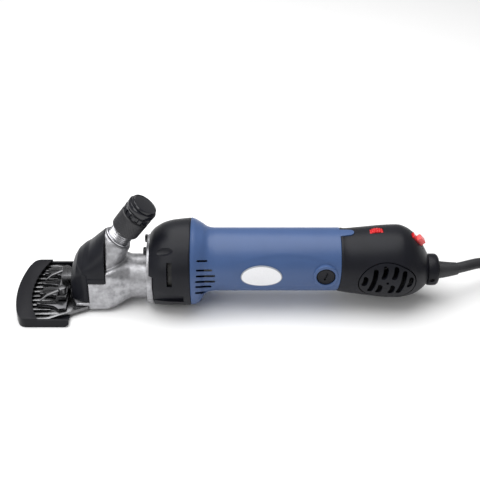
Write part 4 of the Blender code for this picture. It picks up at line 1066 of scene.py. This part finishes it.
def strain_relief():
    """A tapered sleeve, bent a little towards the cord."""
    first = Vector((154.6, 0.0, 25.9))
    last = Vector((176.9, 1.9, 25.7))
    straight = 0.3
    rings = []
    for t in spread(0, 1, 60):
        bent = max(0.0, (t - straight) / (1 - straight))
        centre = first.lerp(last, t)
        centre.y = last.y * bent ** 1.8
        radius = 7.0 - 2.1 * bent
        if t > 0.985:  # a chamfer at the end
            radius -= 0.4
        heading = radians(18) * bent
        side = Vector((-sin(heading), cos(heading), 0))
        rings.append([centre + radius * (x * side + z * Vector((0, 0, 1))) for x, z in circle(1, 40)])
    return finish(start("relief_sleeve", skin(rings)), "cord_rubber", "tool_body", "strain_relief")


def plug():
    """A two-pin plug with a ribbed boot."""
    widths = ((0, 4.9), (5, 5.4), (11, 6.6), (14, 9.2), (20, 12.2), (28, 13.0), (34, 12.9))
    rings = []
    for x, half_width in eased(widths, 1.0):
        half_height = min(half_width, 8.2)
        groove = 0.35 if x < 11 and int(x) % 3 == 1 else 0.0
        rings.append(soft_box_ring(x, half_width - groove, -half_height + groove, half_height - groove,
                                   0.9 * half_height, 10))
    rings.append(soft_box_ring(36.2, 12.4, -7.7, 7.7, 7.0, 10))
    rings.append(soft_box_ring(37.0, 11.5, -6.9, 6.9, 6.2, 10))
    body = finish(start("mains_plug", moved(skin(rings), plug_frame())), "black_plastic", "tool_body", "plug")
    pins = [moved(turned([(36.5, 0), (36.5, 2.4), (54.0, 2.4), (54.9, 2.1), (55.5, 1.2), (55.5, 0)], 32, "X"),
                  shift(y=y), plug_frame()) for y in (-9.5, 9.5)]
    return body, finish(start("plug_pins", merged(pins)), "brass", "tool_body")


def tie():
    """A strap pulled tight round the coil's turns, with its end lapped on top."""
    turns = [angle for angle in (TIE_TURN + 360 * k for k in range(8)) if angle < COIL_TURN]
    centres = [(coil_radius(angle), coil_point(angle).z) for angle in turns]

    def band(x, reach, lowest):
        ring = []
        for ry, rz in circle(1, 96):
            y, z = max(centres, key=lambda centre: centre[0] * ry + centre[1] * rz)
            ring.append((x, y + reach * ry, max(lowest, z + reach * rz)))
        return ring

    near = CORD_R + 0.15
    far = CORD_R + 1.05
    rings = [band(-6.0, near, 0.65), band(-6.0, far, 0.05), band(6.0, far, 0.05), band(6.0, near, 0.65)]
    bearing = radians(COIL_START_ANGLE - TIE_TURN)
    place = Matrix.Translation(COIL_CENTRE) @ Matrix.Rotation(bearing - pi / 2, 4, "Z")
    piece = start("cord_tie", moved(skin(rings, loop=True), place))
    bevel(piece, 0.2, 2, 40)
    return finish(piece, "strap", "tool_body")


def mains_lead():
    """The cord as one round curve, with all that is on it."""
    curve = bpy.data.curves.new("mains_lead", "CURVE")
    curve.dimensions = "3D"
    curve.bevel_depth = CORD_R * MM
    curve.bevel_resolution = 8
    curve.use_fill_caps = True
    line = [place * MM + ORIGIN for place in cord_line()]
    spline = curve.splines.new("POLY")
    spline.points.add(len(line) - 1)
    for spot, place in zip(spline.points, line):
        spot.co = (*place, 1)
    lead = bpy.data.objects.new("mains_lead", curve)
    bpy.context.scene.collection.objects.link(lead)
    finish(lead, "cord_rubber", "tool_body", "power_cord", "cord_coil")
    strain_relief()
    plug()
    tie()


# Stage

def studio():
    """A camera above the near side, a pale floor, a white surround and two broad soft lights."""
    scene = bpy.context.scene
    target = Vector((7.4, 7.96, 48.25)) * MM + ORIGIN
    towards = Vector((0, 0.839, -0.545))
    distance = 0.8
    camera = bpy.data.objects.new("camera", bpy.data.cameras.new("camera"))
    camera.data.lens = 77.4
    camera.location = target - distance * towards
    camera.rotation_euler = towards.to_track_quat("-Z", "Y").to_euler()
    scene.collection.objects.link(camera)
    scene.camera = camera

    reach = 3000
    corners = [(-reach, -reach), (reach, -reach), (reach, reach), (-reach, reach)]
    floor = start("floor", prism(corners, -20.0, 0.0))
    floor.data.materials.append(surface("pale_floor", (0.9, 0.9, 0.9), 0.8, 0, (3, 0.01), (300, 0.01)))

    world = bpy.data.worlds.new("studio")
    world.use_nodes = True
    feed(world.node_tree.nodes["Background"], {"Color": (1, 1, 1, 1), "Strength": 0.35})
    scene.world = world
    scene.view_settings.view_transform = "Standard"

    lights = (("key", (-150, 100, 900), 1.2, 14.0), ("front", (-500, -600, 500), 0.5, 2.0))
    for name, place, size, power in lights:
        data = bpy.data.lights.new(name, "AREA")
        data.shape = "SQUARE"
        data.size = size
        data.energy = power
        lamp = bpy.data.objects.new(name, data)
        lamp.location = Vector(place) * MM
        lamp.rotation_euler = (-lamp.location).to_track_quat("-Z", "Y").to_euler()
        scene.collection.objects.link(lamp)


def dress_frame():
    """Gives every CAD node the material of its slot.

    The bearing plate, whose rim stands behind the gear case's slots, is made dark instead: painted shade, so that
    the slots look dark.
    """
    slot_of = {part["node"]: part["material_slot"] for part in frame["record"]["subparts"]}
    for name, node in frame["nodes"].items():
        # The bearing plate gets painted shade in place of its cast aluminium.
        look = EXTRA_LOOKS["painted_shade_cast"] if name == "bearing_plate" else LOOKS[slot_of[name]]
        for place in node.material_slots:
            place.material = look


studio()
dress_frame()
mains_lead()
cast_head()
hood()
knob()
sleeve()
spring()
comb()
cutter()
fork()
blade_guard()
screws()
gear_housing()
motor_housing()
label()
brush_caps()
rear_cover()
grilles()
switch()
speed_dial()
gland()
